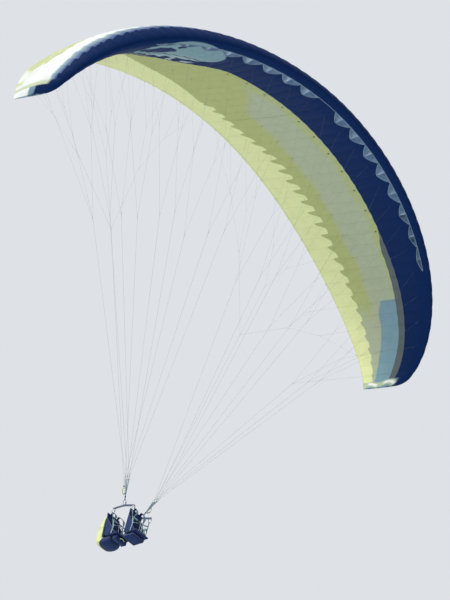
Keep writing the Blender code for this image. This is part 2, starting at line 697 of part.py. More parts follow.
def seat_surface(x, above):
    """Height over a seat's middle of a point x forward of it; above is 1 on top and -1 below."""
    return above * SEAT[2] / 2 / cos(SEAT_LEAN) - x * sin(SEAT_LEAN) / cos(SEAT_LEAN)


def back_frame(who, seat_middle):
    """Foot of the back's rear face, and the directions up it and out behind it."""
    lean = BACK_LEAN[who]
    up = Vector((sin(lean), 0, cos(lean)))
    out = Vector((-cos(lean), 0, sin(lean)))
    foot = seat_middle + Vector((-SEAT[0] / 2 - BACK[0] / 2 - BACK_GAP, 0, BACK_FOOT))
    return foot, up, out


def side_strap(who, side, hand, axis, seat_middle):
    """Main webbing from a karabiner to the seat's edge, with the leg strap sewn to it."""
    eye_z = axis.z - HARNESS_KARABINER[1] - (HARNESS_EYE - HARNESS_KARABINER[3] - GAP)
    top = Vector((axis.x, axis.y, eye_z))
    x, y = Vector((1, 0, 0)), Vector((0, 1, 0))
    foot = seat_middle + Vector((STRAP_FOOT[0], hand * (SEAT[1] / 2 + WEBBING_THICKNESS), STRAP_FOOT[1]))
    hip = foot + Vector((STRAP_HIP[0], 0, STRAP_HIP[1]))
    outward = y * hand
    route = [(top, outward)]
    for share, turn in STRAP_TURN:
        route.append((top.lerp(hip, share), outward.lerp(x, turn).normalized()))
    route += [(hip, x), (foot, x)]
    made = strap(f"{who}_side_strap_{side}", route, SIDE_WIDTH, WEBBING_THICKNESS, webbing())
    front = Vector((SEAT[0] / 2 - LEG_FRONT, hand * LEG_OFF_MIDDLE, 0))
    front.z = seat_surface(front.x, 1) + WEBBING_THICKNESS / 2 + SHOULDER_GAP
    thigh = Vector((THIGH[0], hand * THIGH[1], THIGH[2]))
    leg = [
        (seat_middle + front, y),
        (seat_middle + front + Vector((0, 0, LEG_RISE)), y),
        (seat_middle + front.lerp(thigh, 0.5) + Vector((0, 0, LEG_BOW)), y),
        (seat_middle + thigh, y),
        (hip + Vector((0, 0, LEG_JOIN)), (y + Vector((0, 0, -hand))).normalized()),
    ]
    leg_strap = hide_tool(strap(f"{who}_leg_strap_{side}", leg, LEG_WIDTH, WEBBING_THICKNESS, webbing()))
    combine(made, leg_strap, "UNION")
    frame = Matrix.Translation((0, top.y, 0))
    rim_radius = HARNESS_EYE + WEBBING_THICKNESS
    rim = rollers([(top.x, top.z, rim_radius)], SIDE_WIDTH - RIM_INSET, f"{who}_rim_{side}", frame)
    bore = rollers([(top.x, top.z, HARNESS_EYE)], SIDE_WIDTH * 2, f"{who}_eye_{side}", frame)
    combine(made, rim, "UNION")
    combine(made, bore, "DIFFERENCE")


def shoulder_straps(who, seat_middle, middle):
    """Padded straps from the back's top over the shoulders to the seat, joined by the chest strap."""
    foot, up, out = back_frame(who, seat_middle)
    y = Vector((0, 1, 0))
    pieces = []
    for hand in (1, -1):
        top = foot + up * (BACK[2] - SHOULDER_TOP) - out * (BACK[0] / 2 + SHOULDER_THICKNESS / 2 + SHOULDER_GAP)
        top.y = hand * SHOULDER_HALF
        low = seat_middle + Vector((LOW_ANCHOR[0], hand * LOW_ANCHOR[1], 0))
        low.z += seat_surface(LOW_ANCHOR[0], 1) + LOW_ANCHOR_RISE
        over = top - out * OVER_SHOULDER[0] + up * OVER_SHOULDER[1]
        chest = Vector((middle.x - CHEST_BACK, hand * CHEST_HALF, middle.z - CHEST_DROP))
        route = [
            (top - up * SHOULDER_END, y),
            (top + up * SHOULDER_RISE, y),
            (over, y),
            (over.lerp(chest, 0.5) - out * SHOULDER_BOW, y),
            (chest, y),
            (chest.lerp(low, 0.5) - out * WAIST_BOW, y),
            (low, y),
        ]
        name = f"{who}_shoulder_straps" if hand == 1 else f"{who}_shoulder_strap_right"
        pieces.append(strap(name, route, SHOULDER_WIDTH, SHOULDER_THICKNESS, cloth_navy()))
    z = Vector((0, 0, 1))
    reach = abs(main_axis(1).y) - CHEST_STRAP_INSET
    strap_middle = middle - Vector((CHEST_STRAP_BACK, 0, CHEST_DROP))
    chest_route = [(strap_middle + y * part * reach, z) for part in (-1.0, -0.5, 0.0, 0.5, 1.0)]
    chest_strap = strap(f"{who}_chest_strap", chest_route, CHEST_WIDTH, WEBBING_THICKNESS, webbing())
    combine(pieces[0], hide_tool(pieces[1]), "UNION")
    combine(pieces[0], hide_tool(chest_strap), "UNION")


def protector(seat_middle):
    """Air-filled back protector: a hollow shell behind the back and under the seat, open at its top."""
    foot, up, out = back_frame("pilot", seat_middle)
    foot = foot + out * (BACK[0] / 2 + PROTECTOR_GAP)
    under = [
        seat_middle + Vector((x, 0, seat_surface(x, -1) - PROTECTOR_GAP)) for x in PROTECTOR_SEAT_X
    ]
    near_corner, (far_x, far_z) = PROTECTOR_CORNER
    near = [foot + up * h for h, _ in PROTECTOR_BACK] + [foot + Vector((0, 0, near_corner))] + under
    far = [foot + up * h + out * d for h, d in PROTECTOR_BACK] + [foot + Vector((far_x, 0, far_z))]
    far += [p - Vector((0, 0, d)) for p, d in zip(under, PROTECTOR_SEAT_DEEP)]
    bm = bmesh.new()
    shells = []
    for wall, count in ((0.0, len(near)), (PROTECTOR_WALL, len(near) - 1)):
        rings = []
        for i in range(count):
            depth = (far[i] - near[i]).normalized()
            a, b = near[i] + depth * wall, far[i] - depth * wall
            half = PROTECTOR_WIDTH[i] / 2 - wall
            soft = min(PROTECTOR_ROUNDING, (b - a).length * ROUNDING_LIMIT)
            ring_points = [
                (a, -half + soft / 2), (a, 0.0), (a, half - soft / 2),
                (a.lerp(b, WIDEST_AT), half), (b - depth * soft, half - soft * SIDE_INSET),
                (b, half - soft * EDGE_INSET), (b, 0.0), (b, -half + soft * EDGE_INSET),
                (b - depth * soft, -half + soft * SIDE_INSET), (a.lerp(b, WIDEST_AT), -half),
            ]
            rings.append([bm.verts.new((p.x, y, p.z)) for p, y in ring_points])
        for low, high in zip(rings, rings[1:]):
            for j in range(len(low)):
                k = (j + 1) % len(low)
                bm.faces.new((low[j], high[j], high[k], low[k]))
        bm.faces.new(rings[-1])
        shells.append(rings[0])
    rim, core = shells
    for j in range(len(rim)):
        k = (j + 1) % len(rim)
        bm.faces.new((rim[j], rim[k], core[k], core[j]))
    return place("pilot_protector", bm, cloth_lime())


def harness(who, hole_x):
    """One harness: seat, back and webbing below its two karabiners."""
    left, right = end_axis(1, hole_x), end_axis(-1, hole_x)
    middle = (left + right) / 2
    seat_middle = middle + Vector((SEAT_FORWARD[who], 0, -SEAT_DROP))
    cushion(who + "_seat", SEAT, seat_middle, SEAT_LEAN, cloth_navy())
    foot, up, _ = back_frame(who, seat_middle)
    cushion(who + "_back", BACK, foot + up * BACK[2] / 2, BACK_LEAN[who], cloth_navy())
    shoulder_straps(who, seat_middle, middle)
    for hand, side, axis in ((1, "left", left), (-1, "right", right)):
        hung = Matrix.Translation(axis - Vector((0, 0, HARNESS_KARABINER[1] / 2)))
        ring(f"{who}_karabiner_{side}", HARNESS_KARABINER, hung, alloy())
        side_strap(who, side, hand, axis, seat_middle)
    if who == "pilot":
        protector(seat_middle)
        box_middle = seat_middle + RESERVE_PLACE
        cushion("pilot_reserve", RESERVE, box_middle, SEAT_LEAN, cloth_navy())
    else:
        cushion("passenger_foam_pad", FOAM_PAD, seat_middle + FOAM_PLACE, SEAT_LEAN, cloth_navy())


def remove_everything():
    for thing in list(bpy.data.objects):
        bpy.data.objects.remove(thing, do_unlink=True)


def main():
    remove_everything()
    front_section("canopy_front_centre", -CENTRE_LAST_RIB, CENTRE_LAST_RIB)
    rear_section("canopy_rear_centre", -CENTRE_LAST_RIB, CENTRE_LAST_RIB)
    for hand, side in ((1, "left"), (-1, "right")):
        for part, first, last in SECTIONS:
            low, high = sorted((hand * first, hand * last))
            front_section("canopy_front_" + part + "_" + side, low, high)
            rear_section("canopy_rear_" + part + "_" + side, low, high)
        wingtip("wingtip_" + side, hand)
        suspension(hand, side)
        brake(hand, side)
        spreader(hand, side)
    for who, hole_x in (("pilot", PILOT_HOLE), ("passenger", PASSENGER_HOLE)):
        harness(who, hole_x)


main()
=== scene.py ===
"""Looks of a tandem paraglider: cloth, lines, risers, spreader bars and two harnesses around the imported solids.

Metres, +X forward, +Y to the glider's left, +Z up, origin on the lower cloth at mid span.
"""
from math import cos, pi, radians, sin, sqrt

import bmesh
import bpy
import numpy as np
from mathutils import Matrix, Vector


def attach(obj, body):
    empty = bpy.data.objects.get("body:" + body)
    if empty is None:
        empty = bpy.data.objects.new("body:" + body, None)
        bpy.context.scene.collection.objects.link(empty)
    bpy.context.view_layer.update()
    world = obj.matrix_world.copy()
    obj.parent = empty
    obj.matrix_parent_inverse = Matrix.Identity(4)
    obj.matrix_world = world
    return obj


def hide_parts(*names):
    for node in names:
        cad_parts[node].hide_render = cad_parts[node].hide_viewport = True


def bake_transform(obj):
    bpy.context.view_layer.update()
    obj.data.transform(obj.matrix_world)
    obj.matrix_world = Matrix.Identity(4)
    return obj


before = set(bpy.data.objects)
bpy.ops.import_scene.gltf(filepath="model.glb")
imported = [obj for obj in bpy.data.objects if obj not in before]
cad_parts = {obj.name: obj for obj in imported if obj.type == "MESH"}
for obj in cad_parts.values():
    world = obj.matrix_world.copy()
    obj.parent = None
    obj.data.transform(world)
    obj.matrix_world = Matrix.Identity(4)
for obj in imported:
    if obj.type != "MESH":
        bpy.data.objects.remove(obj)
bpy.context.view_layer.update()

# The photograph's camera, fitted to the wing's outline. It stands at floor level and looks up.
PHOTO_WIDTH, PHOTO_HEIGHT = 450, 600
FOCAL_PIXELS, CENTRE_X, CENTRE_Y = 6041.5, 221.18, 289.10
LOOK_AZIMUTH, LOOK_ELEVATION, ROLL = radians(144.47), radians(26.99), radians(21.62)
CAMERA_DISTANCE, AIM_POINT = 115.74, Vector((0.007, 0.0, -4.11))
SENSOR = 36.0
FLOOR_BELOW_CAMERA, FLOOR_SIZE = 0.3, 480.0

# Canopy, as in the part's source: plan form, arc and wing section. Ribs count from mid span to the tip.
HALF_SPAN, HALF_CELLS = 6.525, 26
ROOT_NOSE, TIP_NOSE, NOSE_POWER = 1.125, -0.313, 1.74
ROOT_TAIL, TIP_TAIL, TAIL_POWER, TAIL_ROUNDNESS = -2.570, -1.290, 3.55, 1.180
ARC_LINEAR, ARC_CUBIC, ARC_SIXTH = radians(51.0), radians(13.0), radians(22.5)
PITCH = radians(-2.22)
THICKNESS, CAMBER, CAMBER_PLACE = 0.157, 0.0285, 0.30
TIP_THINNING, TIP_EDGE, TIP_EDGE_START = 0.12, 0.30, 0.97
ARC_STEPS = 240
UPPER, LOWER = 1, -1

# Cloth between the ribs: how far it bulges, and how thick a sheet of it is drawn.
UPPER_BULGE, LOWER_BULGE, CLOTH = 0.017, 0.012, 0.0012
ACROSS_A_CELL = (0.0, 0.05, 0.2, 0.4, 0.6, 0.8, 0.95)
UPPER_ROWS, LOWER_ROWS = 46, 40

# Air intakes in the lower cloth, one to a pair of half cells, deepest on the rib between its walls.
INTAKE_FRONT, INTAKE_DEPTH, LAST_INTAKE = 0.025, 0.053, 16
INTAKE_SHRINK, SHRINK_FROM, SHRINK_OVER, INTAKE_POINT, LEAST_OPENING = 0.55, 9.0, 7.0, 1.35, 0.0015
NOSE_ROWS, ROW_SPREAD = (0.0, 0.002, 0.007, 0.015), 1.12
RIB_START, RIB_DEPTH, RIB_STEPS, RIB_INSET = 0.012, 0.30, 12, 0.003
BINDING_WIDTH, BINDING_THICKNESS, TAIL_TAPE_WIDTH = 0.009, 0.0014, 0.012

# Hang points, risers and lines, as in the part's source.
GAP = 0.0003
HANG_DROP, HANG_HALF_WIDTH, RISER_LEAN = 9.11, 0.25, radians(19.0)
LINE_ROWS = (("a", 0.10, 0.055), ("b", 0.30, 0.0), ("c", 0.60, -0.055))
LINE_GROUPS = ((1, 3, 5, 7), (9, 11, 13, 15), (17, 19, 21, 23))
MAIN_FORK, UPPER_FORK, BRAKE_FORK, BRAKE_UPPER_FORK = 0.62, 0.56, 0.45, 0.50
MAIN_LINE, MIDDLE_LINE, TOP_LINE, LINE_CLEARANCE = 0.0013, 0.0010, 0.00075, 0.0006
SPLICE, LINE_SIDES, LINE_SPREAD = 0.06, 6, 0.0055
TIP_LINE_RIB, TIP_LINE_CHORD, KNOT_RISE, LINE_END_MARKS = 25.0, 0.45, 0.012, (0.0, 0.006, 0.012)
LINK_LOOP_WIDE, LINK_LOOP_HIGH, LINK_LOOP_RISE, LINK_LOOP_STEPS = 0.0048, 0.0095, 0.004, 17
MAIN_KARABINER = (0.062, 0.104, 0.018, 0.0055)
HARNESS_KARABINER = (0.062, 0.092, 0.016, 0.0050)
QUICK_LINK = (0.032, 0.042, 0.006, 0.0025)
BENDS = 32
RISER_TOP, RISER_STEM_TOP, RISER_WIDTH, RISER_THICKNESS = 0.45, 0.13, 0.020, 0.0024
LOWER_EYE, UPPER_EYE, SEWN_LENGTH = 0.0080, 0.0050, 0.07
RISER_KNEE, STEM_FOOT, STEM_MIDDLE, STEM_NARROWS = 0.012, 0.075, 0.095, 0.078
GUIDE_HEIGHT, GUIDE_OUTBOARD, GUIDE_STRAP = 0.315, 0.034, 0.003
HANDLE_WIDTH, HANDLE_HEIGHT, HANDLE_CORNER, HANDLE_DROP = 0.090, 0.120, 0.030, 0.030
HANDLE_ROD = 0.0085

# Spreader bars and harnesses, as in the part's source.
HOLE = {"pilot": -0.264, "passenger": 0.295}
END_HOLE_DROP, MAIN_BORE, END_BORE, MAIN_BORE_SLACK, BAR_THICKNESS = 0.035, 0.0100, 0.0080, 0.0018, 0.008
SEAT = Vector((0.33, 0.38, 0.045))
SEAT_DROP, SEAT_LEAN = 0.53, radians(-8.0)
SEAT_FORWARD = {"pilot": 0.11, "passenger": 0.09}
BACK, BACK_GAP, BACK_FOOT = Vector((0.035, 0.36, 0.56)), 0.004, -0.01
BACK_LEAN = {"pilot": radians(-18.0), "passenger": radians(-8.0)}
RESERVE, RESERVE_PLACE = Vector((0.14, 0.30, 0.10)), Vector((0.100, 0, -0.0745))
FOAM_PAD, FOAM_PLACE = Vector((0.30, 0.34, 0.09)), Vector((-0.040, 0, -0.0750))
SIDE_WIDTH, HARNESS_EYE, STRAP_THICKNESS = 0.024, 0.0075, 0.0026
STRAP_FOOT, STRAP_HIP, SIDE_SEWN, LEG_BUCKLE_STATION = (0.02, -0.01), (-0.01, 0.16), 0.06, 15
STRAP_TURN = ((0.40, 0.35), (0.55, 0.65), (0.70, 0.90))
LEG_WIDTH, LEG_FRONT, LEG_OFF_MIDDLE = 0.038, 0.03, 0.036
LEG_RISE, LEG_BOW, THIGH, LEG_JOIN = 0.07, 0.060, (0.06, 0.125, 0.185), 0.02
SHOULDER_WIDTH, SHOULDER_THICKNESS, SHOULDER_GAP = 0.050, 0.008, 0.001
SHOULDER_TOP, SHOULDER_HALF, SHOULDER_END, SHOULDER_RISE = 0.05, 0.085, 0.03, 0.01
OVER_SHOULDER, SHOULDER_BOW, WAIST_BOW = (0.05, 0.045), 0.06, 0.02
CHEST_DROP, CHEST_WIDTH, CHEST_BACK, CHEST_HALF, CHEST_STRAP_BACK = 0.20, 0.028, 0.015, 0.125, 0.014
CHEST_END_DROP, CHEST_STATIONS = 0.10, (-0.17, -0.08, 0.0, 0.08, 0.17)
LOW_ANCHOR, LOW_ANCHOR_RISE = (-0.10, 0.150), 0.006
PAD_FULLNESS, TAPE_LIFT, TAPE_WIDTH, TAPE_THICKNESS, LOW_TAPE_WIDTH = 1.25, 0.62, 0.42, 0.0018, 0.024
PROTECTOR_BACK = ((0.50, 0.07), (0.40, 0.15), (0.22, 0.23), (0.04, 0.26))
PROTECTOR_CORNER = (-0.05, (-0.18, -0.19))
PROTECTOR_SEAT_X, PROTECTOR_SEAT_DEEP = (-0.11, 0.015), (0.19, 0.12)
PROTECTOR_WIDTH = (0.26, 0.32, 0.35, 0.36, 0.36, 0.34, 0.30)
BAG_RIM = 0.14
ACROSS_BAG = ((BAG_RIM, 1.0), (0.4, 1.03), (0.7, 1.03), (0.88, 0.97), (1.01, 0.75), (1.04, 0.3), (1.04, -0.3),
              (1.01, -0.75), (0.88, -0.97), (0.7, -1.03), (0.4, -1.03), (BAG_RIM, -1.0))
PROTECTOR_GAP, PROTECTOR_ROUNDING, WIDEST_AT, EDGE_INSET, SIDE_INSET = 0.001, 0.05, 0.35, 1.4, 0.3

# Small parts that the solids leave out, or have as plain rods: sizes in the order in which they are used.
TAB_SIZE, TAB_INSET, TAB_DROP, LINE_TO_TAB = (0.014, 0.0018, 0.028), 0.0036, 0.0125, 0.018
GRIP_LENGTH, SWIVEL_RADIUS, SWIVEL_LENGTH, SWIVEL_DROP = 0.056, 0.0042, 0.014, 0.003
LOOP_NARROWING, SLEEVE_SIZE, SLEEVE_DROP = 0.35, (0.0125, 0.0225, 0.030), 0.018
MAIN_GATE, HARNESS_GATE, MAIN_GATE_RISE, HARNESS_GATE_RISE = (0.0084, 0.040), (0.0076, 0.034), 0.004, 0.002
NUT_RADIUS, NUT_LENGTH, RIM_WIDTH, RIM_RADIUS = 0.0044, 0.013, 0.0026, 0.0022
GUIDE_RING, GUIDE_RING_RADIUS, GUIDE_RING_OFF = 0.0066, 0.0013, 0.0085
BUCKLE_SIZE, BUCKLE_LIFT, PANEL_STEPS, SEWN_GAP = (0.048, 0.036, 0.0085), 0.002, 12, 0.0001
PANEL_ON_BACK, PANEL_ON_SEAT, PANEL_FULLNESS = (0.03, 0.40), (0.02, 0.24), 0.010

# Pads: how far a cover may swell, the grid it is remeshed on, its air, and its sewn channels.
PAD_SWELL, PAD_GRID, PAD_PRESSURE, PAD_FRAMES = 0.007, 0.006, 4.0, 20
CHANNEL_DEPTH, CHANNEL_WIDTH, PIPING, PAD_CORNER, FOAM_CORNER = 0.0045, 0.006, 0.0022, 0.016, 0.03
SEAT_CHANNELS, BACK_CHANNELS = ((0, 0.055), (0, -0.055)), ((2, -0.14), (2, 0.0), (2, 0.14))
RESERVE_CHANNELS, FOAM_CHANNELS = ((1, 0.0),), ((0, -0.05), (0, 0.05))
BAG_RIM_SEAM, BAG_SEAM, BAG_SEAM_RINGS = 0.0026, 0.0018, (1, 2, 3)

X, Y, Z = Vector((1, 0, 0)), Vector((0, 1, 0)), Vector((0, 0, 1))
move = Matrix.Translation
SIDES = ((1, "left"), (-1, "right"))


def nose(t):
    """Leading edge's place forward of the origin, t from 0 at mid span to 1 at the tip."""
    return TIP_NOSE + (ROOT_NOSE - TIP_NOSE) * np.sqrt(np.maximum(0.0, 1.0 - t**NOSE_POWER))


def tail(t):
    return TIP_TAIL + (ROOT_TAIL - TIP_TAIL) * np.maximum(0.0, 1.0 - t**TAIL_POWER) ** TAIL_ROUNDNESS


def arc_angle(t):
    return ARC_LINEAR * t + ARC_CUBIC * t**3 + ARC_SIXTH * t**6


def arc_table():
    """Sideways and upward place of the wing's arc at even steps from mid span to tip."""
    step = HALF_SPAN / ARC_STEPS
    angles = arc_angle((np.arange(ARC_STEPS) + 0.5) / ARC_STEPS)
    return (np.concatenate([[0.0], np.cumsum(part * step)]) for part in (np.cos(angles), -np.sin(angles)))


ARC_ACROSS, ARC_UP = arc_table()


def section_height(x, side):
    """Height of the section's skin over its chord line, per metre of chord."""
    half = 5.0 * THICKNESS * (0.2969 * np.sqrt(x) - 0.1260 * x - 0.3516 * x**2 + 0.2843 * x**3 - 0.1015 * x**4)
    p = CAMBER_PLACE
    ahead = CAMBER / p**2 * (2 * p * x - x * x)
    behind = CAMBER / (1 - p) ** 2 * ((1 - 2 * p) + 2 * p * x - x * x)
    return np.where(x < p, ahead, behind) + side * half


def fullness(t):
    edge = np.maximum(0.0, (t - TIP_EDGE_START) / (1.0 - TIP_EDGE_START))
    return (1.0 - TIP_THINNING * t**4) * (1.0 - (1.0 - TIP_EDGE) * edge**2)


def raw_wing(rib, chord_share, side, out=0.0):
    rib, x = np.broadcast_arrays(np.asarray(rib, float), np.clip(np.asarray(chord_share, float), 0.0, 1.0))
    t = np.minimum(np.abs(rib) / HALF_CELLS, 1.0)
    chord, share, d = nose(t) - tail(t), fullness(t), 1e-4
    back = np.minimum(d, x)
    slope = (section_height(x + d, side) - section_height(x - back, side)) * share / (d + back)
    slope = np.where(x < 1e-5, side * 1e6, slope)
    length = np.sqrt(1.0 + slope**2)
    along = x * chord - slope * side / length * out
    height = section_height(x, side) * chord * share + side / length * out
    angle, steps = arc_angle(t), np.arange(ARC_STEPS + 1)
    y = np.interp(t * ARC_STEPS, steps, ARC_ACROSS) + np.sin(angle) * height
    z = np.interp(t * ARC_STEPS, steps, ARC_UP) + np.cos(angle) * height
    forward = nose(t) - along
    ahead, up = forward * cos(PITCH) - z * sin(PITCH), forward * sin(PITCH) + z * cos(PITCH)
    return np.stack((ahead, np.where(rib < 0, -y, y), up), -1)


ORIGIN_SHIFT = raw_wing(0.0, ROOT_NOSE / (ROOT_NOSE - ROOT_TAIL), LOWER)


def wing(rib, chord_share, side, out=0.0):
    """Points of the wing's skin at arrays of ribs and chord shares, moved out of the wing by out."""
    return raw_wing(rib, chord_share, side, out) - ORIGIN_SHIFT


def wing_point(rib, chord_share, side, out=0.0):
    return Vector(wing(rib, chord_share, side, out))


def bulge(rib, chord_share, side):
    """How far the blown-up cloth stands out between two ribs."""
    between = np.abs(rib) % 1.0
    most = UPPER_BULGE if side == UPPER else LOWER_BULGE
    along = (0.3 + 0.7 * np.minimum(1.0, chord_share / 0.10)) * (1.0 - chord_share**5)
    return most * along * (4.0 * between * (1.0 - between)) ** 0.85


def frame_at(point, x, y, z):
    """Matrix that puts the origin at a point and turns the axes to three given directions."""
    return move(point) @ Matrix((x, y, z)).transposed().to_4x4()


def photo_camera():
    """Sets up the photograph's own camera and gives its place."""
    ahead = Vector((cos(LOOK_ELEVATION) * cos(LOOK_AZIMUTH), cos(LOOK_ELEVATION) * sin(LOOK_AZIMUTH),
                    sin(LOOK_ELEVATION)))
    level = ahead.cross(Z).normalized()
    upright = level.cross(ahead)
    right = cos(ROLL) * level + sin(ROLL) * upright
    up = cos(ROLL) * upright - sin(ROLL) * level
    place = AIM_POINT - ahead * CAMERA_DISTANCE
    aside = (PHOTO_WIDTH / 2 - CENTRE_X) / FOCAL_PIXELS
    below = (PHOTO_HEIGHT / 2 - CENTRE_Y) / FOCAL_PIXELS
    ahead = (ahead + right * aside - up * below).normalized()
    right = (right - ahead * right.dot(ahead)).normalized()
    up = right.cross(ahead)
    bpy.ops.object.camera_add()
    camera = bpy.context.object
    camera.matrix_world = frame_at(place, right, up, -ahead)
    camera.data.sensor_width = SENSOR
    camera.data.lens = FOCAL_PIXELS / PHOTO_HEIGHT * SENSOR
    camera.data.clip_end = 1000.0
    bpy.context.scene.camera = camera
    return place


def lights_and_floor(floor_height):
    """A pale floor, a pale sky that lights evenly, and a wide soft sun from the glider's right."""
    bpy.ops.mesh.primitive_plane_add(size=FLOOR_SIZE, location=(0, 0, floor_height))
    floor = bpy.context.object
    floor.name = "floor"
    pale = bpy.data.materials.new("pale floor")
    pale.use_nodes = True
    shader = pale.node_tree.nodes["Principled BSDF"]
    shader.inputs["Base Color"].default_value = (0.75, 0.76, 0.77, 1.0)
    shader.inputs["Roughness"].default_value = 0.9
    floor.data.materials.append(pale)
    world = bpy.data.worlds.new("pale studio")
    world.use_nodes = True
    sky = world.node_tree.nodes["Background"]
    sky.inputs["Color"].default_value = (0.86, 0.89, 0.93, 1.0)
    sky.inputs["Strength"].default_value = 0.85
    bpy.context.scene.world = world
    bpy.ops.object.light_add(type="SUN")
    sun = bpy.context.object
    sun.data.energy, sun.data.angle = 2.9, radians(25)
    sun.data.color = (1.0, 0.98, 0.94)
    towards = Vector((0.35, 0.85, -0.62)).normalized()
    sun.rotation_mode = "QUATERNION"
    sun.rotation_quaternion = towards.to_track_quat("-Z", "Y")
    bpy.context.scene.view_settings.view_transform = "Standard"


def deselect():
    bpy.ops.object.select_all(action="DESELECT")


def make_active(piece):
    deselect()
    piece.select_set(True)
    bpy.context.view_layer.objects.active = piece


class Field:
    """A number that varies over a surface, so that a finish can be written as plain arithmetic."""

    def __init__(self, finish, socket):
        self.finish, self.socket = finish, socket

    def share(self, low, high):
        """0 at low and 1 at high, smoothly in between."""
        inputs = {"Value": self, "From Min": low, "From Max": high}
        made = self.finish.node("MapRange", inputs, interpolation_type="SMOOTHSTEP")
        return Field(self.finish, made.outputs[0])

    def zigzag(self):
        """0.5 at whole numbers and 0 halfway between them."""
        return abs(self.cycle() - 0.5)


def maths_method(operation, swapped=False):
    """A method of Field that makes one maths node."""

    def method(field, *others):
        return field.finish.maths(operation, *((*others, field) if swapped else (field, *others)))

    return method


for method_name, node_operation in (
    ("__add__", "ADD"), ("__sub__", "SUBTRACT"), ("__mul__", "MULTIPLY"), ("__pow__", "POWER"),
    ("__abs__", "ABSOLUTE"), ("cycle", "FRACT"), ("least", "MINIMUM"), ("most", "MAXIMUM"),
):
    setattr(Field, method_name, maths_method(node_operation))
Field.__rsub__ = maths_method("SUBTRACT", swapped=True)


class Finish:
    """A material's node tree, with short calls for the nodes that the finishes below are made of."""

    def __init__(self, name):
        self.material = bpy.data.materials.new(name)
        self.material.use_nodes = True
        self.tree = self.material.node_tree
        self.shader = self.tree.nodes["Principled BSDF"]

    def node(self, kind, inputs=(), **settings):
        made = self.tree.nodes.new("ShaderNode" + kind)
        for key, value in settings.items():
            setattr(made, key, value)
        for key, value in dict(inputs).items():
            self.put(made.inputs[key], value)
        return made

    def put(self, socket, value):
        value = getattr(value, "socket", value)
        if isinstance(value, bpy.types.NodeSocket):
            self.tree.links.new(value, socket)
        elif isinstance(value, tuple) and len(value) == 3 and socket.type == "RGBA":
            socket.default_value = (*value, 1.0)
        else:
            socket.default_value = value

    def maths(self, operation, *values):
        return Field(self, self.node("Math", enumerate(values), operation=operation).outputs[0])

    def mix(self, share, a, b):
        made = self.node("Mix", data_type="RGBA")
        for key, value in ((0, share), (6, a), (7, b)):
            self.put(made.inputs[key], value)
        return made.outputs[2]

    def paint(self, colour, *coats):
        """Lays coats of (share, colour) over a colour, one after another."""
        for share, coat in coats:
            colour = self.mix(share, colour, coat)
        return colour

    def attribute(self, name):
        return Field(self, self.node("Attribute", attribute_name=name).outputs["Fac"])

    def place(self):
        return self.node("TexCoord").outputs["Object"]

    def run(self):
        """The piece's own UV map, in metres: around its section, and along it."""
        parts = self.node("SeparateXYZ", {0: self.node("TexCoord").outputs["UV"]})
        return Field(self, parts.outputs[0]), Field(self, parts.outputs[1])

    def noise(self, scale, detail=3.0, vector=None):
        inputs = {"Scale": scale, "Detail": detail, "Vector": vector or self.place()}
        return Field(self, self.node("TexNoise", inputs).outputs["Fac"])

    def waves(self, scale, direction):
        made = self.node("TexWave", {"Scale": scale, "Vector": self.place()}, bands_direction=direction)
        return Field(self, made.outputs["Fac"])

    def weave(self, scale):
        """Threads that cross on every face, whichever way it looks."""
        facing = self.node("SeparateXYZ", {0: self.node("TexCoord").outputs["Normal"]})
        crossing = 0.0
        for i, axis in enumerate("XYZ"):
            shows = (1.0 - abs(Field(self, facing.outputs[i]))).share(0.25, 0.6)
            crossing = (self.waves(scale, axis) * shows).most(crossing)
        return crossing

    def bump(self, height, strength, distance):
        return self.node("Bump", {"Height": height, "Strength": strength, "Distance": distance}).outputs[0]

    def surface(self, colour, roughness, normal=None, **sockets):
        self.put(self.shader.inputs["Base Color"], colour)
        self.put(self.shader.inputs["Roughness"], roughness)
        if normal is not None:
            self.put(self.shader.inputs["Normal"], normal)
        for name, value in sockets.items():
            self.put(self.shader.inputs[name.replace("_", " ")], value)
        return self.material

    def let_light_through(self, colour, share):
        """Mixes in a share of translucent cloth."""
        glow = self.node("BsdfTranslucent", {"Color": colour})
        both = self.node("MixShader", {0: share, 1: self.shader.outputs[0], 2: glow.outputs[0]})
        self.tree.links.new(both.outputs[0], self.tree.nodes["Material Output"].inputs["Surface"])
        return self.material


def srgb(red, green, blue):
    """A display colour of 0 to 255 as the linear one that a shader takes."""
    shares = (red / 255, green / 255, blue / 255)
    return tuple(c / 12.92 if c <= 0.04045 else ((c + 0.055) / 1.055) ** 2.4 for c in shares)


def darker(colour, share):
    return tuple(c * share for c in colour)


NAVY, LIGHT_BLUE, LIME = srgb(3, 38, 88), srgb(124, 157, 166), srgb(227, 233, 173)
SHADED_OLIVE, SHADED_SAGE, SHADED_PALE_LIME = srgb(177, 186, 124), srgb(176, 186, 157), srgb(176, 187, 136)
STRIP_GREY, TIP_BLUE_AND_SHADE, WHITE = srgb(98, 107, 110), srgb(127, 160, 173), srgb(244, 248, 246)
STRIP_LIGHT, CORDURA_NAVY, BLACK = srgb(176, 194, 196), srgb(14, 38, 82), (0.0, 0.0, 0.0)
DARK_THREAD_AND_SHADOW, STEEL_BLUE, GREY = srgb(52, 62, 66), srgb(118, 150, 160), srgb(92, 96, 102)


def ripstop(cloth, colour, rib, light):
    """The wing's cloth: fine square ripstop, rib seams and faint crease lines, painted a little darker in them as
    shade. A share of the light passes.
    """
    between = rib.cycle()
    seam = between.least(1.0 - between).share(0.036, 0.016)
    grid = cloth.waves(26.0, "X").most(cloth.waves(26.0, "Y")).share(0.9, 1.0)
    creases_and_painted_light = cloth.noise(5.0, 4.0)
    # The crease noise paints shade; the seam lines are darker seams.
    colour = cloth.paint(colour, (creases_and_painted_light.share(0.3, 0.8) * 0.06, BLACK), (seam * 0.08, (0.02, 0.03, 0.05)))
    height = grid * 0.25 + creases_and_painted_light - seam * 0.6
    cloth.surface(colour, 0.6, cloth.bump(height, 0.2, 0.012), Specular_IOR_Level=0.08)
    return cloth.let_light_through(colour, light)


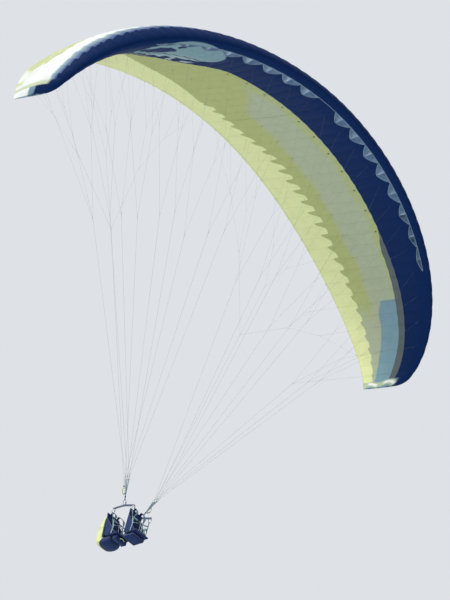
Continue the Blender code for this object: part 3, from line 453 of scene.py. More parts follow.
def inside_oval(across, along, sharpness=2.6):
    """1 within a rounded patch whose own coordinates run from -1 to 1 both ways."""
    return (abs(across) ** sharpness + abs(along) ** sharpness).share(1.05, 0.95)


def lower_cloth_finish():
    """Navy front with a light-blue leaf of painted sunlight on the right, lime behind it in painted shade tones,
    and a bright toothed tail band of painted sunlight.
    """
    cloth = Finish("lower cloth")
    rib, chord = cloth.attribute("rib"), cloth.attribute("chord")
    outboard, right = abs(rib), rib * -1.0

    # The navy ends at the border, and a grey strip follows it.
    scallop = cloth.maths("COSINE", rib * (2 * pi)) * 0.003
    dip = right.share(7.0, 11.8) * right.share(18.0, 13.0) * 0.14
    border = dip + 0.273 - outboard.share(13.0, 20.0) * 0.018 + scallop
    strip_end = border + outboard.share(12.6, 15.0) * 0.050 + outboard.share(15.0, 21.0) * 0.024 + 0.002
    strip_end = strip_end + outboard.share(21.5, 25.5) * 0.055

    # Behind the strip: two greens that are the lime cloth in painted shade, a light-blue patch of painted shade
    # near each tip, and the toothed band of painted sunlight.
    level = chord + cloth.noise(1.3, 3.0) * 0.12 - 0.06
    # Rear edge of the light-blue patch of painted shade near each tip.
    shade_patch_rear = outboard.share(20.5, 26.3) * 0.17 + outboard.share(18.8, 20.2) * 0.055 + 0.495
    # Teeth of painted rib shadow along the edge of the band of painted sunlight.
    along_teeth = (rib * 0.912 + 0.367).cycle()
    tooth = along_teeth.share(0.06, 0.62) * along_teeth.share(1.0, 0.90)
    height = outboard.share(2.0, 7.0) * 0.040 + 0.040 - outboard.share(10.0, 21.0) * 0.054
    height = height * (cloth.noise(1.9, 1.0) + 0.5)
    left_start = 0.840 - rib.share(1.0, 4.5) * 0.048 - tooth * height
    right_start = 0.891 - outboard * 0.0171 - (outboard - 9.0).most(0.0) ** 2.0 * 0.0038
    sunlit_band_start = left_start + (right_start - left_start) * rib.share(-2.4, -3.0)
    # The pale lime, sage and olive are painted shade on the lime cloth; the lime band over them is painted
    # sunlight, its teeth painted rib shadows.
    middle = cloth.paint(
        SHADED_PALE_LIME,
        ((level - 0.333).share(-0.010, 0.016), SHADED_SAGE),
        ((rib - level * 14.0).share(-8.2, -9.8), SHADED_OLIVE),
        (level.share(0.56, 0.64) * rib.share(21.0, 18.4), SHADED_OLIVE),
        (outboard.share(18.85, 18.95) * (shade_patch_rear - chord).share(0.0, 0.006), TIP_BLUE_AND_SHADE),
        ((chord - sunlit_band_start).share(-0.002, 0.002), LIME),
    )

    # The leaf: painted sunlight on the navy cloth, with a notch and a wedge of painted shadow cut out of it and
    # thin painted shadow lines along its rear edge.
    sunlit_leaf = inside_oval((right - 13.5) * (1 / 3.95), (chord - 0.165) * (1 / 0.160), 2.4)
    notch = inside_oval((right - 15.5) * (1 / 1.7), (chord - 0.17) * (1 / 0.085), 1.6)
    shadow_wedge = inside_oval((right - 14.2) * (1 / 0.4), (chord - 0.07) * (1 / 0.03), 1.2)
    line_span = right.share(9.8, 10.6) * right.share(16.0, 15.2)
    # Pale streaks of painted highlight in the navy before the border.
    highlight_streaks = cloth.noise(3.4, 3.0).share(0.50, 0.60) * line_span * (chord - border).share(0.0, -0.02)
    lines = abs(chord - 0.262).share(0.008, 0.004)
    sunlit_leaf_colour = cloth.mix(chord.share(0.20, 0.30) * right.share(15.0, 12.0) * 0.5, LIGHT_BLUE, STRIP_LIGHT)

    # A reinforcing patch at each line of the B row, and the streaked tip, its white streak a painted highlight.
    patch = inside_oval(((outboard * 0.5).cycle() - 0.5) * (1 / 0.04), (chord - 0.303) * (1 / 0.008), 1.6)
    off_streak = abs(outboard - 25.74 - cloth.maths("SINE", chord * 13.0) * 0.10)
    painted_highlight = off_streak.share(0.12, 0.07) * abs(chord - 0.55).share(0.04, 0.12) * chord.share(0.90, 0.82)
    tip = cloth.paint(TIP_BLUE_AND_SHADE, (off_streak.share(0.26, 0.16), srgb(186, 202, 168)), (painted_highlight, WHITE))
    # Over the navy: reinforcing patches, painted highlight streaks, the painted sunlight leaf with its painted
    # shadow notch and wedge, painted shadow lines, and the tip.
    colour = cloth.paint(
        NAVY,
        ((chord - border).share(-0.0015, 0.0015), STRIP_GREY),
        ((chord - strip_end).share(-0.002, 0.002), middle),
        (patch * outboard.share(13.6, 13.2) * 0.7, DARK_THREAD_AND_SHADOW),
        (highlight_streaks * chord.share(0.30, 0.33), STRIP_LIGHT),
        (sunlit_leaf * (1.0 - notch.most(shadow_wedge)), sunlit_leaf_colour),
        (lines * line_span, DARK_THREAD_AND_SHADOW),
        (outboard.share(25.4, 25.55) * chord.share(0.12, 0.22), tip),
    )
    return ripstop(cloth, colour, rib, 0.14)


def upper_cloth_finish():
    """Navy nose with a toothed edge, white behind it and lime to the tail. The toothed edge and its blue-grey
    blends are painted sunlight on each cell's bulge, and the white streaks and blotches near the tips are painted
    highlights.
    """
    cloth = Finish("upper cloth")
    rib, chord = cloth.attribute("rib"), cloth.attribute("chord")
    outboard = abs(rib)
    # The toothed edge and the blue-grey blends behind the navy are painted sunlight on each cell's bulge.
    tooth = (outboard * 1.3).cycle() * 0.030
    ragged = chord + tooth * 0.6 + cloth.noise(3.0, 3.0) * 0.04
    lime_from = outboard.share(21.5, 24.0) * 0.20 + 0.40
    in_lime = (chord - lime_from).share(0.0, 0.05) * outboard.share(25.2, 24.4)
    # White streaks of painted highlight through the lime near the tips.
    highlight_streaks = cloth.noise(2.2, 2.0).share(0.42, 0.56)
    # The tip cell: navy breaking into blue-grey and white blotches of painted highlight.
    scraps = chord + cloth.noise(5.0, 3.0) * 0.25
    tip = cloth.paint(NAVY, (scraps.share(0.50, 0.58), TIP_BLUE_AND_SHADE), (scraps.share(0.66, 0.72), WHITE))
    colour = cloth.paint(
        NAVY,
        ((chord + tooth).share(0.122, 0.126), srgb(92, 112, 160)),
        (ragged.share(0.150, 0.200), srgb(146, 172, 180)),
        (ragged.share(0.205, 0.262), WHITE),
        (in_lime * (1.0 - outboard.share(20.0, 24.0) * highlight_streaks * 0.8), srgb(205, 211, 158)),
        (outboard.share(25.0, 25.25), cloth.mix(chord.share(0.12, 0.20), NAVY, srgb(206, 216, 186))),
        (outboard.share(25.45, 25.55), tip),
    )
    return ripstop(cloth, colour, rib, 0.30)


def inner_cloth_finish():
    """The coated inner side of the cloth, and the ribs. Daylight comes through it; a faint painted glow and pale
    painted highlights brighten it, and painted shade darkens it towards the tips.
    """
    cloth = Finish("inner cloth")
    creases_and_painted_light = cloth.noise(7.0)
    # Painted light: soft navy shade in the intakes towards the tips, pale highlights on the crease noise, and a
    # faint emission glow dimmed in the shade.
    painted_intake_shade = cloth.noise(3.0, 2.0).share(0.30, 0.62) * abs(cloth.attribute("rib")).share(10.8, 13.0) * 0.75
    colour = cloth.paint(srgb(178, 198, 220), (creases_and_painted_light.share(0.3, 0.7), srgb(216, 228, 238)), (painted_intake_shade, NAVY))
    glow = cloth.mix(painted_intake_shade, (0.38, 0.55, 0.74), (0.01, 0.05, 0.16))
    cloth.surface(colour, 0.5, cloth.bump(creases_and_painted_light, 0.2, 0.01), Emission_Color=glow, Emission_Strength=0.16)
    return cloth.let_light_through(colour, 0.5)


def edge_cloth_finish(name, colour, crease_shade):
    """Doubled cloth of the tips and of the tape along the tail, painted in a darker colour as shade where the
    crease noise is high.
    """
    cloth = Finish(name)
    creases_and_painted_light = cloth.noise(9.0)
    # Painted shade in the crease lines.
    shade = cloth.mix(creases_and_painted_light.share(0.35, 0.7), colour, crease_shade)
    return cloth.surface(shade, 0.6, cloth.bump(creases_and_painted_light, 0.3, 0.006), Specular_IOR_Level=0.2)


def webbing_finish(name, colour, thread):
    """Woven webbing: a herringbone that follows the strap, and a row of stitches near each edge."""
    web = Finish(name)
    around, along = web.run()
    chevron = (around * 210.0).zigzag()
    ridge = (along * 420.0 + chevron * 1.6).zigzag()
    stitches = (around * 95.0).zigzag().share(0.44, 0.48) * (along * 190.0).zigzag().share(0.34, 0.28)
    shade = web.paint(
        colour,
        (ridge.share(0.1, 0.45) * 0.45, darker(colour, 0.45)),
        (web.noise(24.0).share(0.45, 0.75) * 0.2, srgb(170, 172, 168)),
        (stitches, thread),
    )
    height = ridge + stitches * 0.8
    return web.surface(shade, 0.78, web.bump(height, 0.35, 0.0008), Sheen_Weight=0.15, Sheen_Roughness=0.5)


def line_finish(name, colour, tracer):
    """Braided sheath with a tracer thread winding round it."""
    sheath = Finish(name)
    around, along = sheath.run()
    lengthwise, winding = along * 260.0, around * 420.0
    braid = (lengthwise + winding).zigzag() * (lengthwise - winding).zigzag()
    trace = (along * 60.0 + around * 130.0).cycle().share(0.86, 0.90)
    shade = sheath.paint(colour, (braid.share(0.02, 0.16) * 0.4, darker(colour, 0.5)), (trace, tracer))
    return sheath.surface(shade, 0.6, sheath.bump(braid, 0.3, 0.0004))


def cordura_finish(name, colour, lighter):
    """Heavy woven cloth of the harnesses, with crease lines painted darker as shade, and rubbed high places."""
    cloth = Finish(name)
    weave = cloth.weave(150.0)
    creases_and_painted_light, rubbed = cloth.noise(14.0, 5.0), cloth.noise(38.0, 2.0)
    shade = cloth.paint(
        colour,
        (weave.share(0.5, 1.0) * 0.10, lighter),
        (rubbed.share(0.58, 0.82) * 0.2, lighter),
        # painted shade in the crease lines
        (creases_and_painted_light.share(0.55, 0.25) * 0.3, darker(colour, 0.4)),
    )
    height = weave * 0.12 + creases_and_painted_light
    return cloth.surface(shade, 0.75, cloth.bump(height, 0.35, 0.006), Specular_IOR_Level=0.2)


def bag_finish():
    """Cloth of the air-filled protector: navy along the back, a grey bound seam, lime behind it, navy below."""
    cloth = Finish("protector cloth")
    depth, down = cloth.attribute("depth"), cloth.attribute("down")
    creases_and_painted_light = cloth.noise(9.0, 5.0)
    colour = cloth.paint(
        NAVY,
        (depth.share(0.105, 0.115), GREY),
        (depth.share(0.165, 0.175), srgb(196, 204, 146)),
        # painted shade in the crease lines
        (creases_and_painted_light.share(0.52, 0.30) * 0.3, srgb(132, 140, 92)),
        (down.share(4.28, 4.31), GREY),
        (down.share(4.36, 4.39), CORDURA_NAVY),
    )
    height = creases_and_painted_light + cloth.weave(110.0) * 0.03
    return cloth.surface(colour, 0.66, cloth.bump(height, 0.5, 0.016), Specular_IOR_Level=0.25)


def metal_finish(name, colour, roughness, grain=(1.0, 1.0, 0.2)):
    """Alloy or steel with fine scratches and a little wear."""
    metal = Finish(name)
    scratches = metal.noise(220.0, 4.0, metal.node("Mapping", {0: metal.place(), 3: grain}).outputs[0])
    wear = metal.noise(70.0, 5.0)
    shade = metal.mix(wear.share(0.60, 0.80) * 0.16, colour, srgb(198, 200, 204))
    rough = scratches.share(0.3, 0.7) * 0.12 + roughness
    return metal.surface(shade, rough, metal.bump(scratches, 0.08, 0.0006), Metallic=1.0)


def plastic_finish():
    """Moulded nylon of buckles and guides."""
    plastic = Finish("moulded nylon")
    grain = plastic.noise(420.0, 2.0)
    rubbed = plastic.noise(40.0)
    shade = plastic.mix(rubbed.share(0.5, 0.8) * 0.3, srgb(38, 40, 44), srgb(84, 88, 94))
    return plastic.surface(shade, 0.48, plastic.bump(grain, 0.2, 0.0003))


def put_attributes(mesh, **fields):
    for name, values in fields.items():
        layer = mesh.attributes.new(name, "FLOAT", "POINT")
        layer.data.foreach_set("value", np.asarray(values, np.float32).ravel())


def mesh_piece(name, points, faces, finishes):
    """A named mesh in the scene from points and faces."""
    mesh = bpy.data.meshes.new(name)
    mesh.from_pydata([tuple(p) for p in points], [], faces)
    for finish in finishes:
        mesh.materials.append(finish)
    made = bpy.data.objects.new(name, mesh)
    bpy.context.scene.collection.objects.link(made)
    mesh.shade_smooth()
    return made


def apply_all(piece):
    """Applies a piece's modifiers."""
    make_active(piece)
    for change in list(piece.modifiers):
        bpy.ops.object.modifier_apply(modifier=change.name)


def grid_faces(rows, columns, flipped, left_out=lambda row, column: False):
    """Faces of a grid of points that is written row after row."""
    found = []
    for i in range(rows - 1):
        for j in range(columns - 1):
            if not left_out(i, j):
                a = i * columns + j
                face = (a, a + 1, a + columns + 1, a + columns)
                found.append(face[::-1] if flipped else face)
    return found


def open_faces(piece, wanted, kind="FACE"):
    """Opens a piece for editing with only its wanted faces selected, or its corners where kind is VERT."""
    make_active(piece)
    bpy.ops.object.mode_set(mode="EDIT")
    bpy.ops.mesh.select_mode(type=kind)
    bpy.ops.mesh.select_all(action="DESELECT")
    shape = bmesh.from_edit_mesh(piece.data)
    for part in shape.faces if kind == "FACE" else shape.verts:
        if wanted(part):
            part.select_set(True)
    bmesh.update_edit_mesh(piece.data)


def close_edit():
    bpy.ops.object.mode_set(mode="OBJECT")


def every(_):
    return True


def at_an_end(face):
    return abs(face.normal.z) > 0.9


def recess(piece, wanted, *steps):
    """Draws a piece's wanted faces in, by one (thickness, depth) after another."""
    open_faces(piece, wanted)
    for thickness, depth in steps:
        bpy.ops.mesh.inset(thickness=thickness, depth=depth)
    close_edit()


def block(name, size):
    """A block at the origin, to be shaped further and then put in its place."""
    deselect()
    bpy.ops.mesh.primitive_cube_add(size=1.0)
    made = bpy.context.object
    made.name, made.scale = name, size
    bpy.ops.object.transform_apply(location=False, rotation=False, scale=True)
    return made


def rod(name, radius, length, sides):
    """A rod along Z at the origin, to be shaped further and then put in its place."""
    deselect()
    bpy.ops.mesh.primitive_cylinder_add(vertices=sides, radius=radius, depth=length)
    made = bpy.context.object
    made.name = name
    return made


def soften(piece, offset, segments=2):
    """Rounds all edges of a piece."""
    open_faces(piece, every)
    bpy.ops.mesh.bevel(offset=offset, segments=segments, affect="EDGES")
    close_edit()
    bpy.ops.object.shade_smooth_by_angle(angle=radians(35))


def turned_rod(name, radius, length, sides, ends, edge, segments=2):
    """A rod with its ends drawn in by (thickness, depth), and its edges rounded."""
    made = rod(name, radius, length, sides)
    recess(made, at_an_end, ends)
    soften(made, edge, segments)
    return made


def torus(radius, wire, segments, sides, turn=0.0):
    """A ring of round wire about Z, turned about it."""
    deselect()
    bpy.ops.mesh.primitive_torus_add(major_radius=radius, minor_radius=wire, major_segments=segments,
                                     minor_segments=sides, rotation=(0, 0, turn))
    bpy.ops.object.transform_apply(location=False, rotation=True, scale=False)
    return bpy.context.object


def ring(radius, wire, segments, wanted, tall):
    """A ring with its wanted faces drawn up or down."""
    made = torus(radius, wire, segments, 8)
    open_faces(made, wanted)
    bpy.ops.transform.resize(value=(1.0, 1.0, tall))
    close_edit()
    bpy.ops.object.shade_smooth()
    return made


def lay(piece, place, finish, body):
    """Puts a shaped piece in its place, with its finish, body and material slot."""
    piece.data.transform(place)
    piece.data.materials.append(finish)
    return outfit(piece, body)


def copies_joined(pattern, name, places, finish, body):
    """Copies of a pattern, each with its own mesh, put at their places and joined in one named piece."""
    made = []
    for matrix in places:
        copy = pattern.copy()
        copy.data = pattern.data.copy()
        copy.data.transform(matrix)
        bpy.context.scene.collection.objects.link(copy)
        made.append(copy)
    deselect()
    for copy in made:
        copy.select_set(True)
    bpy.context.view_layer.objects.active = made[0]
    if len(made) > 1:
        bpy.ops.object.join()
    made[0].name = made[0].data.name = name
    made[0].data.materials.clear()
    made[0].data.materials.append(finish)
    return outfit(made[0], body)


def scrap(pattern):
    """Removes a pattern once its copies are made."""
    bpy.data.objects.remove(pattern, do_unlink=True)


class Runs:
    """Cords and straps of one piece, with a UV map in metres: u around the section, v along the run."""

    def __init__(self):
        self.points, self.faces, self.corners = [], [], []

    def run(self, stations, outline, sizes=None):
        """Draws an outline of (across, deep) offsets along stations of (place, side, deep), with ends."""
        count, girth = len(outline), [0.0]
        for (a, b), (c, d) in zip(outline, outline[1:] + outline[:1]):
            girth.append(girth[-1] + sqrt((a - c) ** 2 + (b - d) ** 2))
        length, last = 0.0, stations[0][0]
        for i, (place, side, deep) in enumerate(stations):
            size = sizes[i] if sizes else 1.0
            base, before = len(self.points), length
            length += (place - last).length
            last = place
            self.points += [place + side * (across * size) + deep * (off * size) for across, off in outline]
            for j in range(count if i else 0):
                k = (j + 1) % count
                self.faces.append((base - count + j, base + j, base + k, base - count + k))
                u, v = girth[j], girth[j + 1]
                self.corners += [(u, before), (u, length), (v, length), (v, before)]
        end = len(self.points)
        for first in (end - len(stations) * count, end - count):
            self.faces.append(tuple(range(first, first + count)))
            self.corners += [(0.0, 0.0)] * count

    def strap(self, route, width, thickness):
        self.run(stations_along(route), webbing_outline(width, thickness))

    def cord(self, points, radius, sizes=None, sides=LINE_SIDES):
        self.run(stations_along([(p, None) for p in points]), circle(radius, sides), sizes)

    def line(self, start, end, radius):
        """One rigging line, spliced back into itself at both ends, with a small knot where it meets another."""
        along = (end - start).normalized()
        length = (end - start).length
        marks = (*LINE_END_MARKS, SPLICE, SPLICE + 0.01)
        sizes = (1.2, 2.1, 1.5, 1.35, 1.0)
        places = [start + along * m for m in marks] + [start + along * (length - m) for m in reversed(marks)]
        self.cord(places, radius, sizes + tuple(reversed(sizes)))

    def piece(self, name, finish, body, slot, angle=40):
        made = mesh_piece(name, self.points, self.faces, (finish,))
        layer = made.data.uv_layers.new(name="UVMap")
        layer.data.foreach_set("uv", np.asarray(self.corners, np.float32).ravel())
        shape = bmesh.new()
        shape.from_mesh(made.data)
        bmesh.ops.recalc_face_normals(shape, faces=shape.faces)
        shape.to_mesh(made.data)
        shape.free()
        make_active(made)
        bpy.ops.object.shade_smooth_by_angle(angle=radians(angle))
        return outfit(made, body)


def outfit(piece, body):
    """Lets a piece ride on a body, where one is given."""
    if body:
        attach(piece, body)
    return piece


def rounded_rectangle(half_wide, half_high, corner, steps):
    """Points round a rounded rectangle, from the upper end of its straight side at +half_wide."""
    found = []
    for a, b, start in ((1, 1, 0), (-1, 1, 90), (-1, -1, 180), (1, -1, 270)):
        for step in range(steps + 1):
            angle = radians(start + 90 * step / steps)
            wide, high = corner * cos(angle) * a, corner * sin(angle) * b
            found.append((a * (half_wide - corner + wide), b * (half_high - corner + high)))
    return found


def circle(radius, sides):
    return [(radius * cos(2 * pi * i / sides), radius * sin(2 * pi * i / sides)) for i in range(sides)]


def webbing_outline(width, thickness):
    """Section of a flat strap with softly rounded edges."""
    a, b, e = width / 2, thickness / 2, thickness * 0.3
    half = [(e - a, -b), (0.0, -b), (a - e, -b), (a, e - b), (a, b - e)]
    return half + [(-across, -deep) for across, deep in half]


def crowned_outline(width, thickness, steps=20):
    """Section of a padded strap: full in the middle, thin at its bound edges."""
    found = []
    for i in range(steps):
        angle = 2 * pi * i / steps
        across, deep = cos(angle), sin(angle)
        found.append((width / 2 * abs(across) ** 0.7 * (1 if across > 0 else -1),
                      thickness / 2 * abs(deep) ** 0.8 * (1 if deep > 0 else -1)))
    return found


def stations_along(route):
    """Stations along a route of (point, direction of its width). Where no direction is given it turns least."""
    found, side = [], None
    for i, (p, across) in enumerate(route):
        along = (route[min(i + 1, len(route) - 1)][0] - route[max(i - 1, 0)][0]).normalized()
        if across is not None:
            side = across
        elif side is None:
            side = along.orthogonal()
        side = (side - along * along.dot(side)).normalized()
        found.append((p, side, side.cross(along)))
    return found


def smooth_route(route, steps=6):
    """A strap's route of (point, width direction) on one smooth curve through its points."""
    points = [p for p, _ in route]
    held = [points[0] * 2 - points[1], *points, points[-1] * 2 - points[-2]]
    found = []
    for i in range(len(points) - 1):
        a, b, c, d = held[i : i + 4]
        for step in range(steps):
            t = step / steps
            bent = b * 2 + (c - a) * t + (a * 2 - b * 5 + c * 4 - d) * t**2 + (b * 3 - a - c * 3 + d) * t**3
            found.append((bent / 2, route[i][1].lerp(route[i + 1][1], t).normalized()))
    return [*found, route[-1]]


def eye_points(centre, up, out, radius, half, sewn):
    """A strap's way up one side of an eye, over its rod and down the other side to its sewn end."""
    side = [(-sewn, half), (-sewn * 0.4, half), (-radius * 1.6, half + radius * 0.25),
            (-radius * 0.75, radius * 0.85), (0.0, radius), (radius * 0.72, radius * 0.72)]
    rising = [centre + up * a + out * b for a, b in side]
    falling = [centre + up * a - out * b for a, b in reversed(side)]
    return [*rising, centre + up * radius, *falling]


def brake_blend(piece):
    """Bakes a piece's place into its mesh."""
    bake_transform(piece)


def cell_ribs(hand):
    """Stations along one half of the wing, closer together beside each rib."""
    stations = [rib + part for rib in range(HALF_CELLS) for part in ACROSS_A_CELL] + [HALF_CELLS]
    return hand * np.array(stations, float)


def intake_depth(rib):
    """How far an intake reaches behind its front edge, as a share of the chord."""
    outboard = np.abs(rib)
    cell = np.round(outboard / 2) * 2
    off = np.abs(outboard - cell)
    open_here = (cell >= 2) & (cell <= LAST_INTAKE)
    shrink = 1.0 - INTAKE_SHRINK * np.clip((cell - SHRINK_FROM) / SHRINK_OVER, 0.0, 1.0)
    return np.where(open_here, INTAKE_DEPTH * shrink * np.maximum(0.0, 1.0 - off**INTAKE_POINT), 0.0)


def lower_rows(rib):
    """Chord shares of the lower cloth's rows at one station. The fifth and sixth are an intake's edges."""
    rear = INTAKE_FRONT + max(LEAST_OPENING, float(intake_depth(rib)))
    spread = np.linspace(0.0, 1.0, LOWER_ROWS) ** ROW_SPREAD
    return np.array([*NOSE_ROWS, INTAKE_FRONT, *(rear + (1.0 - rear) * spread)])


def stretched_sheet(made):
    wall = made.modifiers.new("wall", "SOLIDIFY")
    wall.thickness, wall.offset, wall.material_offset = CLOTH, -1.0, 1
    apply_all(made)
    return made


def cloth_half(name, hand, side, finish, inner):
    """One half of the wing's upper or lower cloth, bulging between its ribs."""
    ribs = cell_ribs(hand)
    if side == UPPER:
        rows = np.concatenate([NOSE_ROWS, [0.027], np.linspace(0.04, 1.0, UPPER_ROWS)])
        shares = np.tile(rows, (len(ribs), 1))
    else:
        shares = np.array([lower_rows(rib) for rib in ribs])
    stations = np.repeat(ribs[:, None], shares.shape[1], 1)
    points = wing(stations, shares, side, bulge(stations, shares, side))

    def in_intake(i, j):
        middle = abs(ribs[i] + ribs[i + 1]) / 2
        return side == LOWER and j == len(NOSE_ROWS) and 1.0 < middle < LAST_INTAKE + 1.0

    faces = grid_faces(len(ribs), shares.shape[1], hand * side > 0, in_intake)
    made = mesh_piece(name, points.reshape(-1, 3), faces, (finish, inner))
    put_attributes(made.data, rib=stations, chord=shares)
    return stretched_sheet(made)


def rib_sheets(name, ribs, first, last, finish, inset):
    """Upright sheets between the upper and lower cloth at whole ribs, from one chord share to another."""
    shares = first + (last - first) * np.linspace(0.0, 1.0, RIB_STEPS + 1)
    points, faces, area, tallest, longest = [], [], 0.0, 0.0, 0.0
    for rib in ribs:
        low, high = wing(rib, shares, LOWER, -inset), wing(rib, shares, UPPER, -inset)
        base = len(points)
        points += [*low, *high]
        for i in range(RIB_STEPS):
            j = base + i
            faces.append((j, j + 1, j + RIB_STEPS + 2, j + RIB_STEPS + 1))
        heights = np.linalg.norm(high - low, axis=1)
        lengths = np.linalg.norm(np.diff((low + high) / 2, axis=0), axis=1)
        area += ((heights[:-1] + heights[1:]) / 2 * lengths).sum()
        tallest, longest = max(tallest, float(heights.max())), longest + float(lengths.sum())
    made = mesh_piece(name, points, faces, (finish, finish))
    return stretched_sheet(made)


def bindings(hand, side_name, finish):
    """Tape along the front edge of the intakes in one run, and round the rear edge of each intake."""
    tape = Runs()
    outline = webbing_outline(BINDING_WIDTH, BINDING_THICKNESS)

    def taped(ribs, shares):
        out = bulge(ribs, shares, LOWER) + BINDING_THICKNESS * 0.4
        places = [Vector(p) for p in wing(ribs, shares, LOWER, out)]
        ahead = [Vector(p) for p in wing(ribs, shares - 0.002, LOWER, out)]
        tape.run(stations_along([(p, (q - p).normalized()) for p, q in zip(places, ahead)]), outline)

    edge = cell_ribs(hand)[: (LAST_INTAKE + 1) * len(ACROSS_A_CELL) + 1]
    taped(edge, np.full(len(edge), INTAKE_FRONT - 0.001))
    for cell in range(2, LAST_INTAKE + 1, 2):
        ribs = hand * np.linspace(cell - 0.97, cell + 0.97, 25)
        taped(ribs, INTAKE_FRONT + np.maximum(0.002, intake_depth(ribs)) + 0.001)
    tape.piece("intake_tape_" + side_name, finish, "root", "pale_cloth")


def tail_tape(hand, side_name, finish):
    """Tape that closes the trailing edge."""
    tape = Runs()
    ribs = hand * np.arange(0, HALF_CELLS * 2 + 1) / 2
    upper, lower = wing(ribs, 1.0, UPPER), wing(ribs, 1.0, LOWER)
    ahead = wing(ribs, 0.99, LOWER)
    route = [(Vector(p), Vector(q - r)) for p, q, r in zip((upper + lower) / 2, ahead, lower)]
    gaps = np.linalg.norm(upper - lower, axis=1)
    thickest = float(gaps.max()) + 0.002
    sizes = [max(0.5, g / gaps.max()) for g in gaps]
    tape.run(stations_along(route), webbing_outline(TAIL_TAPE_WIDTH, thickest), sizes)
    made = tape.piece("tail_tape_" + side_name, finish, None, "pale_cloth")
    brake_blend(made)


def canopy(finishes):
    """Cloth, ribs behind the intakes, tapes and tips."""
    for hand, side_name in SIDES:
        parts = ("front_inner", "front_outer", "rear_inner", "rear_outer")
        nodes = [f"canopy_{part}_{side_name}" for part in parts]
        nodes += ["canopy_front_centre", "canopy_rear_centre", "wingtip_" + side_name]
        for side, name, slot in ((UPPER, "upper_cloth_", "navy_cloth"), (LOWER, "lower_cloth_", "lime_cloth")):
            made = cloth_half(name + side_name, hand, side, finishes[name], finishes["inner"])
            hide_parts(*nodes)
            brake_blend(made)
        inner_ribs = [hand * rib for rib in range(0 if hand > 0 else 1, HALF_CELLS)]
        made = rib_sheets("ribs_" + side_name, inner_ribs, RIB_START, RIB_DEPTH, finishes["inner"], RIB_INSET)
        outfit(made, "root")
        tip = rib_sheets("tip_rib_" + side_name, [hand * HALF_CELLS], 0.0, 1.0, finishes["tip"], 0.0)
        brake_blend(tip)
        bindings(hand, side_name, finishes["tape"])
        tail_tape(hand, side_name, finishes["tail"])


def hang_matrix(hand):
    """Frame at a hang point, leaning out with the riser."""
    lean = Matrix.Rotation(-hand * RISER_LEAN, 4, "X")
    return move((0, hand * HANG_HALF_WIDTH, -HANG_DROP)) @ lean


def link_centre():
    return RISER_TOP + UPPER_EYE - QUICK_LINK[3] - GAP + QUICK_LINK[1] / 2


def line_foot():
    """Height over the hang point at which the lines of a row start."""
    return link_centre() + QUICK_LINK[1] / 2 + QUICK_LINK[3] + GAP + KNOT_RISE


def middle_of(points):
    return sum(points, Vector()) / len(points)


def attachment(hand, rib, fraction):
    return wing_point(hand * rib, fraction, LOWER, LINE_CLEARANCE)


def on_tab(end, below):
    """Where a line that comes from below ends on the tab of its attachment."""
    return end + (below - end).normalized() * LINE_TO_TAB


def tab_place(point, towards, along_chord):
    """A line tab's matrix: its -Z runs to the line, its X along the chord."""
    down = (towards - point).normalized()
    forward = (along_chord - down * down.dot(along_chord)).normalized()
    return frame_at(point, forward, (-down).cross(forward), -down)


def line_tab():
    """Sewn loop at the end of a rigging line: a tapered tab with an eye."""
    tab = block("line tab", TAB_SIZE)
    open_faces(tab, lambda face: abs(face.normal.y) > 0.9)
    bpy.ops.mesh.inset(thickness=TAB_INSET)
    bpy.ops.mesh.bridge_edge_loops()
    close_edit()
    open_faces(tab, lambda face: face.normal.z < -0.9 and face.calc_center_median().z < -0.013)
    bpy.ops.transform.resize(value=(0.55, 1.0, 1.0))
    close_edit()
    tab.data.transform(move((0, 0, -TAB_DROP)))
    soften(tab, 0.0004, 1)
    return tab


def rigging(finishes):
    """Rows A, B and C on each side, with their tabs on the cloth."""
    tab = line_tab()
    for hand, side_name in SIDES:
        hang = hang_matrix(hand)
        for row, fraction, x in LINE_ROWS:
            lines, tabs = Runs(), []
            knot = hang @ Vector((x, 0, line_foot()))
            link_rod = link_centre() + QUICK_LINK[1] / 2
            for number, group in enumerate(LINE_GROUPS):
                shift = hang.to_3x3() @ Vector((0, hand * (number - 1) * LINE_SPREAD, 0))
                ends = [attachment(hand, rib, fraction) for rib in group]
                fork = knot.lerp(middle_of(ends), MAIN_FORK)
                lines.line(knot + shift, fork, MAIN_LINE)
                loop = [(x + LINK_LOOP_WIDE * cos(a), 0, link_rod + LINK_LOOP_RISE + LINK_LOOP_HIGH * sin(a))
                        for a in np.linspace(pi / 2, pi / 2 + 2 * pi, LINK_LOOP_STEPS)]
                lines.cord([hang @ Vector(p) + shift for p in loop], MAIN_LINE)
                for pair, ribs in ((ends[:2], group[:2]), (ends[2:], group[2:])):
                    upper = fork.lerp(middle_of(pair), UPPER_FORK)
                    lines.line(fork, upper, MIDDLE_LINE)
                    for end, rib in zip(pair, ribs):
                        ahead = wing_point(hand * rib, fraction - 0.01, LOWER)
                        tabs.append(tab_place(end, upper, ahead - wing_point(hand * rib, fraction, LOWER)))
                        lines.line(upper, on_tab(end, upper), TOP_LINE)
                if row == "c" and group[-1] == LINE_GROUPS[-1][-1]:
                    tip = attachment(hand, TIP_LINE_RIB, TIP_LINE_CHORD)
                    lines.line(fork, on_tab(tip, fork), MIDDLE_LINE)
                    tabs.append(tab_place(tip, fork, X))
            made = lines.piece(f"{row}_rigging_{side_name}", finishes["lines"], "root", "line_sheath", 60)
            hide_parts(f"{row}_lines_{side_name}")
            copies_joined(tab, f"{row}_line_tabs_{side_name}", tabs, finishes["tabs"], "root")
    return tab


